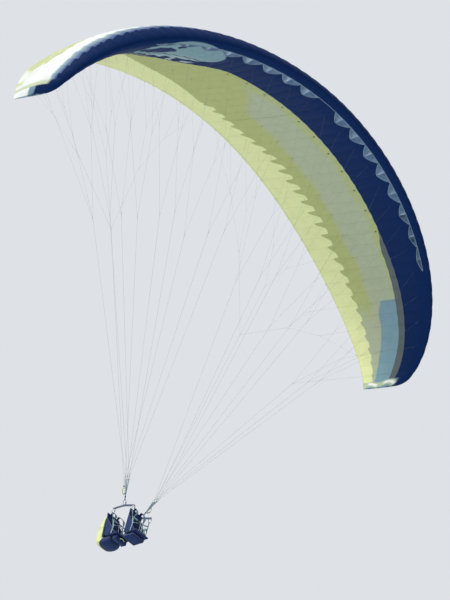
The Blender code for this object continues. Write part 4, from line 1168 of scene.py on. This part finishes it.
def brake_frame(hand):
    """Frame of a brake line at its guide on the rear strap: +Z runs up the line."""
    hang = hang_matrix(hand)
    share = (GUIDE_HEIGHT - RISER_STEM_TOP) / (RISER_TOP - RISER_STEM_TOP)
    rear_x = LINE_ROWS[2][2] * share - GUIDE_STRAP * (1 - share)
    guide = hang @ Vector((rear_x, hand * GUIDE_OUTBOARD, GUIDE_HEIGHT))
    ends = [wing_point(hand * rib, 1.0, LOWER) for group in LINE_GROUPS for rib in group]
    fork = guide.lerp(middle_of(ends), MAIN_FORK)
    up = (fork - guide).normalized()
    forward = (X - up * up.x).normalized()
    return frame_at(guide, forward, up.cross(forward), up), fork


def inner_fan_blend(piece, side_name, hand, fork, end):
    """Bakes the inner fan's place into its mesh."""
    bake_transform(piece)


def brakes(finishes, tab):
    """Brake lines with their fan, tabs and handle on each side."""
    for hand, side_name in SIDES:
        spot, fork = brake_frame(hand)
        body = "brake_" + side_name
        moving, inner, innermost, tabs = Runs(), Runs(), None, []
        moving.line(spot @ Vector((0, 0, -HANDLE_DROP)), fork, MAIN_LINE)
        for group in LINE_GROUPS:
            ends = [attachment(hand, rib, 1.0) for rib in group]
            first = fork.lerp(middle_of(ends), BRAKE_FORK)
            moving.line(fork, first, MIDDLE_LINE)
            for pair, ribs in ((ends[:2], group[:2]), (ends[2:], group[2:])):
                upper = first.lerp(middle_of(pair), BRAKE_UPPER_FORK)
                moving.line(first, upper, TOP_LINE)
                near = ribs[0] <= LINE_GROUPS[1][0]
                for end in pair:
                    (inner if near else moving).line(upper, on_tab(end, upper), TOP_LINE)
                    tabs.append(tab_place(end, upper, X))
                    innermost = innermost or (upper, end)
        made = moving.piece("brake_rigging_" + side_name, finishes["brake lines"], body, "line_sheath", 60)
        fan = inner.piece("brake_inner_fan_" + side_name, finishes["brake lines"], None, "line_sheath", 60)
        inner_fan_blend(fan, side_name, hand, *innermost)
        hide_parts("brake_lines_" + side_name)
        made = copies_joined(tab, "brake_line_tabs_" + side_name, tabs, finishes["tabs"], None)
        brake_blend(made)
        handle(side_name, spot, body, finishes)


def handle(side_name, spot, body, finishes):
    """Brake handle: a webbing loop with a stiff padded grip, and a swivel at its top."""
    loop = Runs()
    half_width, half_height = HANDLE_WIDTH / 2, HANDLE_HEIGHT / 2
    middle = -HANDLE_DROP - half_height - HANDLE_ROD
    corners = []
    for x, z in rounded_rectangle(half_width, half_height, HANDLE_CORNER, 4):
        narrow = 1.0 - LOOP_NARROWING * max(0.0, z / half_height) ** 1.5
        corners.append(spot @ Vector((x * narrow, 0, middle + z)))
    across = spot.to_3x3() @ Y
    route = [(p, across) for p in corners[3:] + corners[:3] + corners[3:4]]
    loop.strap(route, HANDLE_ROD * 2, 0.003)
    made = loop.piece("brake_loop_" + side_name, finishes["handle webbing"], body, "webbing")
    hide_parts("brake_handle_" + side_name)
    grip = turned_rod("brake_grip_" + side_name, HANDLE_ROD, GRIP_LENGTH, 20, (0.0024, 0.003), 0.0012)
    lying = move((0, 0, middle - half_height)) @ Matrix.Rotation(pi / 2, 4, "Y")
    lay(grip, spot @ lying, finishes["navy cordura"], body)
    swivel = turned_rod("brake_swivel_" + side_name, SWIVEL_RADIUS, SWIVEL_LENGTH, 16, (0.0014, 0.0022), 0.0005)
    above = move((0, 0, -HANDLE_DROP - SWIVEL_DROP))
    lay(swivel, spot @ above, finishes["steel"], body)


def risers(finishes):
    """Three webbing straps a side. A and C are one length round the main karabiner, and B is between them."""
    low_eye = MAIN_KARABINER[1] / 2 + LOWER_EYE - MAIN_KARABINER[3] - GAP
    loop_radius = LOWER_EYE + RISER_THICKNESS / 2
    pinch = RISER_THICKNESS + GAP
    loop = [Vector((loop_radius * cos(a), 0, low_eye - loop_radius * sin(a))) for a in np.linspace(0.0, pi, 9)]
    pinched = ((pinch, STEM_MIDDLE), (pinch + 0.001, STEM_NARROWS), (loop_radius * 0.9, low_eye + 0.007))
    front = [Vector((x, 0, z)) for x, z in pinched]
    rear = [Vector((-x, 0, z)) for x, z in reversed(pinched)]
    ways = {}
    for i, (row, _, top_x) in enumerate(reversed(LINE_ROWS)):
        foot, top = Vector(((i - 1) * pinch, 0, RISER_STEM_TOP)), Vector((top_x, 0, RISER_TOP))
        up = (top - foot).normalized()
        out = Vector((up.z, 0, -up.x))
        eye = eye_points(top, up, -out if top_x > 0 else out, UPPER_EYE + RISER_THICKNESS / 2,
                         RISER_THICKNESS / 2 + SEWN_GAP, SEWN_LENGTH)
        ways[row] = [foot - Z * RISER_KNEE, foot.lerp(top, 0.04), foot.lerp(top, 0.4), *eye]
    for hand, side_name in SIDES:
        hang = hang_matrix(hand)
        across = hang.to_3x3() @ Y
        straps = Runs()
        for route in ([*reversed(ways["a"]), *front, *loop, *rear, *ways["c"]], [Z * STEM_FOOT, *ways["b"]]):
            straps.strap([(hang @ p, across) for p in route], RISER_WIDTH, RISER_THICKNESS)
        made = straps.piece("riser_straps_" + side_name, finishes["riser webbing"], "root", "webbing")
        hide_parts("riser_" + side_name)
        sleeve = block("riser_sleeve_" + side_name, SLEEVE_SIZE)
        recess(sleeve, at_an_end, (0.0012, 0.0016))
        soften(sleeve, 0.0008)
        place = hang @ move((0, 0, RISER_STEM_TOP - SLEEVE_DROP))
        lay(sleeve, place, finishes["navy cordura"], "root")


def gate_sleeve(radius, length):
    """Screwed sleeve of a karabiner's gate, with grip flutes."""
    sleeve = rod("gate sleeve", radius, length, 16)
    recess(sleeve, at_an_end, (0.0012, 0.0014))
    open_faces(sleeve, lambda face: abs(face.normal.z) < 0.1 and face.index % 2 == 0)
    bpy.ops.mesh.inset(thickness=0.0005, depth=-0.0006, use_individual=True)
    close_edit()
    soften(sleeve, 0.00025, 1)
    return sleeve


def bent_rod(width, height, corner, radius):
    """Frame of a karabiner or quick link in the YZ plane: a round ring drawn apart to a rounded rectangle."""
    made = torus(corner, radius, BENDS, 14, pi / BENDS)
    for axis, reach in ((X, width / 2 - corner), (Y, height / 2 - corner)):
        for way in (1, -1):
            open_faces(made, lambda point: point.co.dot(axis) * way > 0.0, "VERT")
            bpy.ops.transform.translate(value=axis * (way * reach))
            close_edit()
    bpy.ops.object.shade_smooth()
    made.data.transform(Matrix(((0, 0, 1, 0), (1, 0, 0, 0), (0, 1, 0, 0), (0, 0, 0, 1))))
    return made


def buckle():
    """Quick-release buckle: a bevelled frame with a pressed recess and its two webbing slots."""
    body = block("buckle", BUCKLE_SIZE)
    recess(body, lambda face: face.normal.z > 0.9,
           (0.006, 0.0), (0.002, -0.0028), (0.004, 0.0), (0.0008, 0.0014))
    recess(body, lambda face: abs(face.normal.x) > 0.9 and abs(face.calc_center_median().x) > 0.02,
           (0.0024, 0.0), (0.0004, -0.005))
    soften(body, 0.0006)
    return body


def hardware(finishes):
    """Karabiners and quick links of round rod, with gates and nuts, and rims on the bars and guides."""
    for name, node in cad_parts.items():
        if name.startswith(("spreader_bar", "brake_guide")):
            node.data.materials.clear()
            node.data.materials.append(finishes["bar alloy" if name.startswith("spreader") else "nylon"])
    patterns = {
        "nut": turned_rod("barrel nut", NUT_RADIUS, NUT_LENGTH, 6, (0.0008, 0.0009), 0.0003, 1),
        "main rim": ring(MAIN_BORE + RIM_WIDTH, RIM_RADIUS, 32, every, 0.5),
        "end rim": ring(END_BORE + RIM_WIDTH, RIM_RADIUS, 32, every, 0.5),
        "guide": ring(GUIDE_RING, GUIDE_RING_RADIUS, 28, lambda face: face.calc_center_median().z > 0.0, 1.6),
        "main gate": gate_sleeve(*MAIN_GATE),
        "harness gate": gate_sleeve(*HARNESS_GATE),
        "link": bent_rod(*QUICK_LINK),
        "main": bent_rod(*MAIN_KARABINER),
        "harness": bent_rod(*HARNESS_KARABINER),
    }

    def fit(pattern, name, places, finish, body="root", replaced=()):
        made = copies_joined(patterns[pattern], name, places, finishes[finish], body)
        if replaced:
            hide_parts(*replaced)

    flat = Matrix.Rotation(pi / 2, 4, "X")
    for hand, side_name in SIDES:
        hang, pivot = hang_matrix(hand), main_axis(hand)
        links = [hang @ move((x, 0, link_centre())) for _, _, x in LINE_ROWS]
        beside = move((0, hand * QUICK_LINK[0] / 2, 0))
        gate = hang @ move((0, -hand * MAIN_KARABINER[0] / 2, MAIN_GATE_RISE))
        fit("link", "quick_link_rings_" + side_name, links, "steel",
            replaced=[f"quick_link_{row}_{side_name}" for row, _, _ in LINE_ROWS])
        fit("main", "main_karabiner_ring_" + side_name, [hang], "anodised",
            replaced=["main_karabiner_" + side_name])
        fit("nut", "link_nuts_" + side_name, [link @ beside for link in links], "steel")
        fit("main gate", "main_gate_" + side_name, [gate], "sleeve")
        main_hole = pivot.z - (MAIN_BORE - MAIN_KARABINER[3] - MAIN_BORE_SLACK)
        end_hole = pivot.z - END_HOLE_DROP - (END_BORE - HARNESS_KARABINER[3] - GAP)
        for off in (-1, 1):
            y = pivot.y + off * BAR_THICKNESS / 2
            face = "outer" if off == hand else "inner"
            for pattern, kind, spots, z in (("main rim", "main_rim", [0], main_hole),
                                            ("end rim", "end_rims", HOLE.values(), end_hole)):
                places = [move((x, y, z)) @ flat for x in spots]
                fit(pattern, f"bar_{kind}_{face}_{side_name}", places, "steel", "spreader_bars")
        for who in HOLE:
            body, centre = who + "_harness", end_axis(hand, who) - Z * HARNESS_KARABINER[1] / 2
            beside = Vector((0, -hand * HARNESS_KARABINER[0] / 2, HARNESS_GATE_RISE))
            fit("harness", f"{who}_karabiner_ring_{side_name}", [move(centre)], "anodised", body,
                [f"{who}_karabiner_{side_name}"])
            fit("harness gate", f"{who}_gate_{side_name}", [move(centre + beside)], "sleeve", body)
        spot, _ = brake_frame(hand)
        places = [spot @ move((0, 0, GUIDE_RING_OFF)),
                  spot @ move((0, 0, -GUIDE_RING_OFF)) @ Matrix.Rotation(pi, 4, "X")]
        fit("guide", "guide_rings_" + side_name, places, "steel")
    for pattern in patterns.values():
        scrap(pattern)


def main_axis(hand):
    """Middle of the main karabiner's lower rod, about which the spreader bar turns."""
    return hang_matrix(hand) @ Vector((0, 0, -MAIN_KARABINER[1] / 2))


def end_axis(hand, who):
    """Middle of a harness karabiner's upper rod, in the spreader bar's end hole."""
    pivot = main_axis(hand)
    return Vector((HOLE[who], pivot.y, pivot.z - END_HOLE_DROP))


def seat_middle_of(who):
    left, right = end_axis(1, who), end_axis(-1, who)
    return (left + right) / 2 + Vector((SEAT_FORWARD[who], 0, -SEAT_DROP))


def seat_surface(x, above):
    """Height over a seat's middle of a point x forward of it; above is 1 on top and -1 below."""
    return above * SEAT.z / 2 / cos(SEAT_LEAN) - x * sin(SEAT_LEAN) / cos(SEAT_LEAN)


def back_frame(who, seat_middle):
    """Foot of the back's rear face, and the directions up it and out behind it."""
    lean = BACK_LEAN[who]
    foot = seat_middle + Vector((-SEAT.x / 2 - BACK.x / 2 - BACK_GAP, 0, BACK_FOOT))
    return foot, Vector((sin(lean), 0, cos(lean))), Vector((-cos(lean), 0, sin(lean)))


def swell(piece):
    """Presses a pad's cover out with the air or foam in it, by no more than it may swell."""
    make_active(piece)
    rest = np.array([v.co for v in piece.data.vertices])
    cover = piece.modifiers.new("cover", "CLOTH")
    cover.settings.use_pressure = True
    cover.settings.uniform_pressure_force = PAD_PRESSURE
    cover.settings.effector_weights.gravity = 0.0
    scene = bpy.context.scene
    for number in range(1, PAD_FRAMES + 1):
        scene.frame_set(number)
    bpy.ops.object.modifier_apply(modifier=cover.name)
    scene.frame_set(1)
    swollen = np.array([v.co for v in piece.data.vertices])
    moved = swollen - rest
    far = np.linalg.norm(moved, axis=1, keepdims=True)
    capped = rest + moved * np.minimum(1.0, PAD_SWELL / np.maximum(far, 1e-9))
    piece.data.vertices.foreach_set("co", capped.astype(np.float32).ravel())


def sew_channels(piece, channels):
    """Draws a pad's cover in along its sewn channels, each given as (axis, place on it)."""
    mesh = piece.data
    normals = np.array([v.normal for v in mesh.vertices])
    places = np.array([v.co for v in mesh.vertices])
    drawn = np.zeros(len(places))
    for axis, spot in channels:
        drawn = np.maximum(drawn, np.exp(-(((places[:, axis] - spot) / CHANNEL_WIDTH) ** 2)))
    places -= normals * (drawn * CHANNEL_DEPTH)[:, None]
    mesh.vertices.foreach_set("co", places.astype(np.float32).ravel())
    mesh.update()


def piping_around(piece, size, thin, finish, name, place, body):
    """Bound edge round a pad, laid on the cover's own surface."""
    a, b = [axis for axis in range(3) if axis != thin]
    points = []
    for wide, high in rounded_rectangle(size[a] / 2, size[b] / 2, min(size) * 0.9, 4):
        spot = Vector((0, 0, 0))
        spot[a], spot[b] = wide, high
        points.append(spot)
    closed = [*points, points[0]]
    dense = [p.lerp(q, t / 6) for p, q in zip(closed, closed[1:]) for t in range(6)]
    laid = [place @ piece.closest_point_on_mesh(p)[1] for p in [*dense, dense[0]]]
    cord = Runs()
    cord.cord(laid, PIPING, sides=8)
    cord.piece(name, finish, body, "webbing", 60)


def pad(name, size, thin, place, channels, finishes, body, node, rounding=PAD_CORNER):
    """A stuffed pad in the space of its solid: a block that is blown up, sewn in channels and piped.

    thin is the axis of its least size."""
    made = block(name, size - Vector((2 * PAD_SWELL,) * 3))
    open_faces(made, every)
    least = min(size) / 2 - PAD_SWELL
    bpy.ops.mesh.bevel(offset=min(rounding, least * 0.8), segments=3, affect="EDGES")
    close_edit()
    voxels = made.modifiers.new("voxels", "REMESH")
    voxels.mode, voxels.voxel_size = "VOXEL", PAD_GRID
    apply_all(made)
    swell(made)
    finer = made.modifiers.new("finer", "SUBSURF")
    finer.levels = finer.render_levels = 1
    apply_all(made)
    sew_channels(made, channels)
    bpy.ops.object.shade_smooth()
    piping_around(made, size, thin, finishes["piping"], name + "_piping", place, body)
    lay(made, place, finishes["navy cordura"], body)
    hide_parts(node)


def protector(seat_middle, finishes):
    """Air-filled back protector: a lofted bag behind the back and under the seat, with bound seams."""
    foot, up, out = back_frame("pilot", seat_middle)
    foot = foot + out * (BACK.x / 2 + PROTECTOR_GAP)
    under = [seat_middle + Vector((x, 0, seat_surface(x, -1) - PROTECTOR_GAP)) for x in PROTECTOR_SEAT_X]
    near_corner, (far_x, far_z) = PROTECTOR_CORNER
    near = [foot + up * h for h, _ in PROTECTOR_BACK] + [foot + Z * near_corner] + under
    far = [foot + up * h + out * d for h, d in PROTECTOR_BACK] + [foot + Vector((far_x, 0, far_z))]
    far += [p - Z * d for p, d in zip(under, PROTECTOR_SEAT_DEEP)]
    points, depths, downs, faces = [], [], [], []
    for i, (a, b) in enumerate(zip(near, far)):
        away, half = (b - a).normalized(), PROTECTOR_WIDTH[i] / 2
        soft = min(PROTECTOR_ROUNDING, (b - a).length * 0.4)
        side = [(a, half - soft / 2, 0.0), (a.lerp(b, 0.18), half, 0.18),
                (a.lerp(b, WIDEST_AT), half + 0.004, WIDEST_AT), (a.lerp(b, 0.7), half, 0.7),
                (b - away * soft, half - soft * SIDE_INSET, 0.85), (b, half - soft * EDGE_INSET, 1.0)]
        girdle = [*side, (b + away * 0.006, 0.0, 1.0)]
        girdle += [(p, -y, depth) for p, y, depth in reversed(side)] + [(a, 0.0, 0.0)]
        points += [(p.x, y, p.z) for p, y, _ in girdle]
        depths += [depth for _, _, depth in girdle]
        downs += [i] * len(girdle)
    count = len(girdle)
    for i in range(len(near) - 1):
        for j in range(count):
            k = (j + 1) % count
            faces.append((i * count + j, i * count + k, (i + 1) * count + k, (i + 1) * count + j))
    faces += [tuple(range(count)), tuple(range(len(points) - count, len(points)))]
    made = mesh_piece("protector_bag", points, faces, (finishes["protector"],))
    put_attributes(made.data, depth=depths, down=downs)
    finer = made.modifiers.new("finer", "SUBSURF")
    finer.levels = finer.render_levels = 3
    apply_all(made)
    open_faces(made, every)
    bpy.ops.mesh.normals_make_consistent(inside=False)
    close_edit()
    outfit(made, "pilot_harness")
    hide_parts("pilot_protector")
    seams = Runs()
    for hand in (1, -1):
        rim = [p.lerp(q, BAG_RIM) + Y * (hand * w / 2) for p, q, w in zip(near, far, PROTECTOR_WIDTH)]
        route = [p for p, _ in smooth_route([(p, Y) for p in rim], 8)]
        seams.cord([made.closest_point_on_mesh(p)[1] for p in route], BAG_RIM_SEAM, sides=8)
    for i in BAG_SEAM_RINGS:
        half = PROTECTOR_WIDTH[i] / 2
        route = [(near[i].lerp(far[i], deep) + Y * (side * half), Y) for deep, side in ACROSS_BAG]
        seams.cord([made.closest_point_on_mesh(p)[1] for p, _ in smooth_route(route, 6)], BAG_SEAM, sides=8)
    seams.piece("protector_seams", finishes["piping"], "pilot_harness", "webbing", 60)


def side_strap(straps, who, hand, seat_middle):
    """Main webbing from a karabiner to the seat's edge, with the leg strap sewn to it.

    Gives the buckle's place on the leg strap, and the chest strap's end on the main webbing."""
    axis = end_axis(hand, who)
    top = axis - Z * (HARNESS_KARABINER[1] + HARNESS_EYE - HARNESS_KARABINER[3] - GAP)
    foot = seat_middle + Vector((STRAP_FOOT[0], hand * (SEAT.y / 2 + STRAP_THICKNESS), STRAP_FOOT[1]))
    hip = foot + Vector((STRAP_HIP[0], 0, STRAP_HIP[1]))
    up, outward = (top - hip).normalized(), Y * hand
    rearward = (up.cross(Y) if up.cross(Y).x < 0 else -up.cross(Y)).normalized()
    radius, half = HARNESS_EYE + STRAP_THICKNESS / 2, STRAP_THICKNESS / 2 + SEWN_GAP
    route = [(p, outward) for p in eye_points(top, up, rearward, radius, half, SIDE_SEWN)]
    route += [(top.lerp(hip, share), outward.lerp(X, turn).normalized()) for share, turn in STRAP_TURN]
    straps.strap(smooth_route([*route, (hip, X), (foot, X)], 3), SIDE_WIDTH, STRAP_THICKNESS)
    front = Vector((SEAT.x / 2 - LEG_FRONT, hand * LEG_OFF_MIDDLE, 0))
    front.z = seat_surface(front.x, 1) + STRAP_THICKNESS / 2 + SHOULDER_GAP
    thigh = Vector((THIGH[0], hand * THIGH[1], THIGH[2]))
    leg = smooth_route([
        (seat_middle + front, Y),
        (seat_middle + front + Z * LEG_RISE, Y),
        (seat_middle + front.lerp(thigh, 0.5) + Z * LEG_BOW, Y),
        (seat_middle + thigh, Y),
        (hip + Z * LEG_JOIN, (Y - Z * hand).normalized()),
    ])
    straps.strap(leg, LEG_WIDTH, STRAP_THICKNESS)
    return leg[LEG_BUCKLE_STATION], top.lerp(hip, CHEST_END_DROP / (top.z - hip.z))


def on_strap(station, following, lift):
    """Matrix of a buckle on a strap: its X along the strap, its Z off the strap's upper face."""
    point, across = station
    along = (following - point).normalized()
    side = (across - along * along.dot(across)).normalized()
    face = along.cross(side)
    if face.z < -0.2 or (abs(face.z) <= 0.2 and face.x < 0):
        side, face = -side, -face
    return frame_at(point + face * lift, along, side, face)


def webbing_of(who, seat_middle, finishes, clip):
    """Side, leg and chest straps with their buckles, and the padded shoulder straps."""
    body = who + "_harness"
    straps, clips, side_points = Runs(), [], {}
    for hand, _ in SIDES:
        (point, across), side_points[hand] = side_strap(straps, who, hand, seat_middle)
        clips.append(on_strap((point, across), point + X * -0.02 + Z * 0.004, BUCKLE_LIFT))
    middle = (end_axis(1, who) + end_axis(-1, who)) / 2
    chest_middle = middle - Vector((CHEST_STRAP_BACK, 0, CHEST_DROP))
    chest = [side_points[-1], *(chest_middle + Y * y for y in CHEST_STATIONS), side_points[1]]
    straps.strap(smooth_route([(p, Z) for p in chest], 5), CHEST_WIDTH, STRAP_THICKNESS)
    clips.append(on_strap((chest_middle, Z), chest_middle + Y * 0.02, BUCKLE_LIFT))
    made = straps.piece(who + "_webbing", finishes["webbing"], body, "webbing")
    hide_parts(f"{who}_side_strap_left", f"{who}_side_strap_right")
    copies_joined(clip, who + "_buckles", clips, finishes["nylon"], body)
    foot, up, out = back_frame(who, seat_middle)
    for hand, side_name in SIDES:
        top = foot + up * (BACK.z - SHOULDER_TOP) - out * (BACK.x / 2 + SHOULDER_THICKNESS / 2 + SHOULDER_GAP)
        top.y = hand * SHOULDER_HALF
        low = seat_middle + Vector((LOW_ANCHOR[0], hand * LOW_ANCHOR[1], 0))
        low.z += seat_surface(LOW_ANCHOR[0], 1) + LOW_ANCHOR_RISE
        over = top - out * OVER_SHOULDER[0] + up * OVER_SHOULDER[1]
        at_chest = Vector((middle.x - CHEST_BACK, hand * CHEST_HALF, middle.z - CHEST_DROP))
        bowed = over.lerp(at_chest, 0.5) - out * SHOULDER_BOW
        waist = at_chest.lerp(low, 0.5) - out * WAIST_BOW
        places = (top - up * SHOULDER_END, top + up * SHOULDER_RISE, over, bowed, at_chest + Z * 0.03)
        upper = smooth_route([(p, Y) for p in places], 8)
        padded = Runs()
        grow = [min(1.0, 0.55 + 0.45 * min(i, len(upper) - 1 - i) / 4) for i in range(len(upper))]
        outline = crowned_outline(SHOULDER_WIDTH, SHOULDER_THICKNESS * PAD_FULLNESS)
        padded.run(stations_along(upper), outline, grow)
        name = f"{who}_shoulder_pad_{side_name}"
        made = padded.piece(name, finishes["navy cordura"], body, "navy_cloth", 60)
        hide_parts(who + "_shoulder_straps")
        tapes = Runs()
        raised = [(p - deep * (SHOULDER_THICKNESS * TAPE_LIFT * g), side)
                  for (p, side, deep), g in zip(stations_along(upper), grow)]
        lower = smooth_route([(p, Y) for p in (at_chest + Z * 0.035, at_chest, waist, low)], 8)
        tapes.strap(raised[2:-1], SHOULDER_WIDTH * TAPE_WIDTH, TAPE_THICKNESS)
        tapes.strap(lower, LOW_TAPE_WIDTH, STRAP_THICKNESS)
        tapes.piece(f"{who}_shoulder_tape_{side_name}", finishes["webbing"], body, "webbing")


def side_panel(who, hand, side_name, seat_middle, finishes):
    """Cloth between the back and the seat at one side."""
    foot, up, out = back_frame(who, seat_middle)
    points, widths, count = [], [], PANEL_STEPS + 1
    for i in range(count):
        share = i / PANEL_STEPS
        behind = foot - out * 0.004 + up * (PANEL_ON_BACK[0] + PANEL_ON_BACK[1] * share)
        below_x = -SEAT.x / 2 + PANEL_ON_SEAT[0] + PANEL_ON_SEAT[1] * share
        below = seat_middle + Vector((below_x, 0, seat_surface(below_x, 1) - 0.012))
        widths.append((behind - below).length)
        for j in range(count):
            t = j / PANEL_STEPS
            full = sin(pi * t) * sin(pi * share) * PANEL_FULLNESS
            spot = behind.lerp(below, t)
            points.append((spot.x, hand * (BACK.y / 2 - 0.010 + full + 0.008 * t), spot.z))
    faces = grid_faces(count, count, hand < 0)
    made = mesh_piece(f"{who}_side_panel_{side_name}", points, faces, (finishes["navy cordura"],) * 2)
    grid = np.array(points).reshape(count, count, 3)
    stretched_sheet(made)
    outfit(made, who + "_harness")
    edge = Runs()
    edge.cord([Vector(p) for p in grid[-1]], PIPING, sides=8)
    edge.piece(f"{who}_panel_edge_{side_name}", finishes["piping"], who + "_harness", "webbing", 60)


def reserve_handle(seat_middle, finishes):
    """Webbing handle on the front of the reserve parachute's container."""
    box = move(seat_middle + RESERVE_PLACE) @ Matrix.Rotation(SEAT_LEAN, 4, "Y")
    turn = box.to_3x3()
    front = RESERVE.x / 2 - 0.002
    half = [(-0.06, 0.0), (-0.045, 0.002), (-0.03, 0.014)]
    bowed = [*half, (0.0, 0.019), *((-y, bow) for y, bow in reversed(half))]
    route = [(box @ Vector((front + bow, y, 0.008)), turn @ Z) for y, bow in bowed]
    strap = Runs()
    strap.strap(smooth_route(route, 5), 0.022, 0.003)
    strap.piece("reserve_handle", finishes["handle webbing"], "pilot_harness", "webbing")


def harness(who, finishes, clip):
    """One harness: pads, webbing, side panels, and what hangs under or behind it."""
    body, middle = who + "_harness", seat_middle_of(who)
    foot, up, _ = back_frame(who, middle)
    back_place = move(foot + up * BACK.z / 2) @ Matrix.Rotation(BACK_LEAN[who], 4, "Y")

    def on_seat(off):
        return move(middle + off) @ Matrix.Rotation(SEAT_LEAN, 4, "Y")

    pad(who + "_seat_pad", SEAT, 2, on_seat(Vector()), SEAT_CHANNELS, finishes, body, who + "_seat")
    pad(who + "_back_pad", BACK, 0, back_place, BACK_CHANNELS, finishes, body, who + "_back")
    if who == "pilot":
        pad("reserve_container", RESERVE, 0, on_seat(RESERVE_PLACE), RESERVE_CHANNELS, finishes, body,
            "pilot_reserve")
        reserve_handle(middle, finishes)
        protector(middle, finishes)
    else:
        pad("foam_protector", FOAM_PAD, 2, on_seat(FOAM_PLACE), FOAM_CHANNELS, finishes, body,
            "passenger_foam_pad", FOAM_CORNER)
    webbing_of(who, middle, finishes, clip)
    for hand, side_name in SIDES:
        side_panel(who, hand, side_name, middle, finishes)


def all_finishes():
    return {
        "upper_cloth_": upper_cloth_finish(),
        "lower_cloth_": lower_cloth_finish(),
        "inner": inner_cloth_finish(),
        "tip": edge_cloth_finish("tip cloth", TIP_BLUE_AND_SHADE, NAVY),
        "tail": edge_cloth_finish("tail tape", LIME, srgb(180, 190, 140)),
        "tape": webbing_finish("intake tape", srgb(120, 146, 162), srgb(160, 180, 190)),
        "tabs": webbing_finish("tab webbing", DARK_THREAD_AND_SHADOW, srgb(120, 128, 120)),
        "lines": line_finish("line sheath", srgb(96, 112, 122), srgb(196, 206, 150)),
        "brake lines": line_finish("brake line sheath", srgb(150, 142, 84), srgb(70, 78, 84)),
        "riser webbing": webbing_finish("riser webbing", STEEL_BLUE, srgb(206, 214, 214)),
        "webbing": webbing_finish("harness webbing", STEEL_BLUE, srgb(214, 218, 216)),
        "handle webbing": webbing_finish("handle webbing", srgb(196, 208, 140), srgb(60, 66, 74)),
        "piping": webbing_finish("piping", GREY, srgb(150, 152, 154)),
        "navy cordura": cordura_finish("navy cordura", CORDURA_NAVY, srgb(62, 84, 122)),
        "protector": bag_finish(),
        "anodised": metal_finish("anodised alloy", srgb(150, 156, 166), 0.26),
        "bar alloy": metal_finish("bar alloy", srgb(70, 84, 108), 0.34, (0.3, 1.0, 1.0)),
        "sleeve": metal_finish("gate sleeve alloy", srgb(52, 62, 84), 0.30),
        "steel": metal_finish("stainless steel", srgb(176, 178, 182), 0.20),
        "nylon": plastic_finish(),
    }


def dress():
    """Makes every piece of the glider."""
    finishes = all_finishes()
    canopy(finishes)
    tab = rigging(finishes)
    brakes(finishes, tab)
    scrap(tab)
    risers(finishes)
    hardware(finishes)
    clip = buckle()
    for who in HOLE:
        harness(who, finishes, clip)
    scrap(clip)


camera_place = photo_camera()
lights_and_floor(camera_place.z - FLOOR_BELOW_CAMERA)
dress()
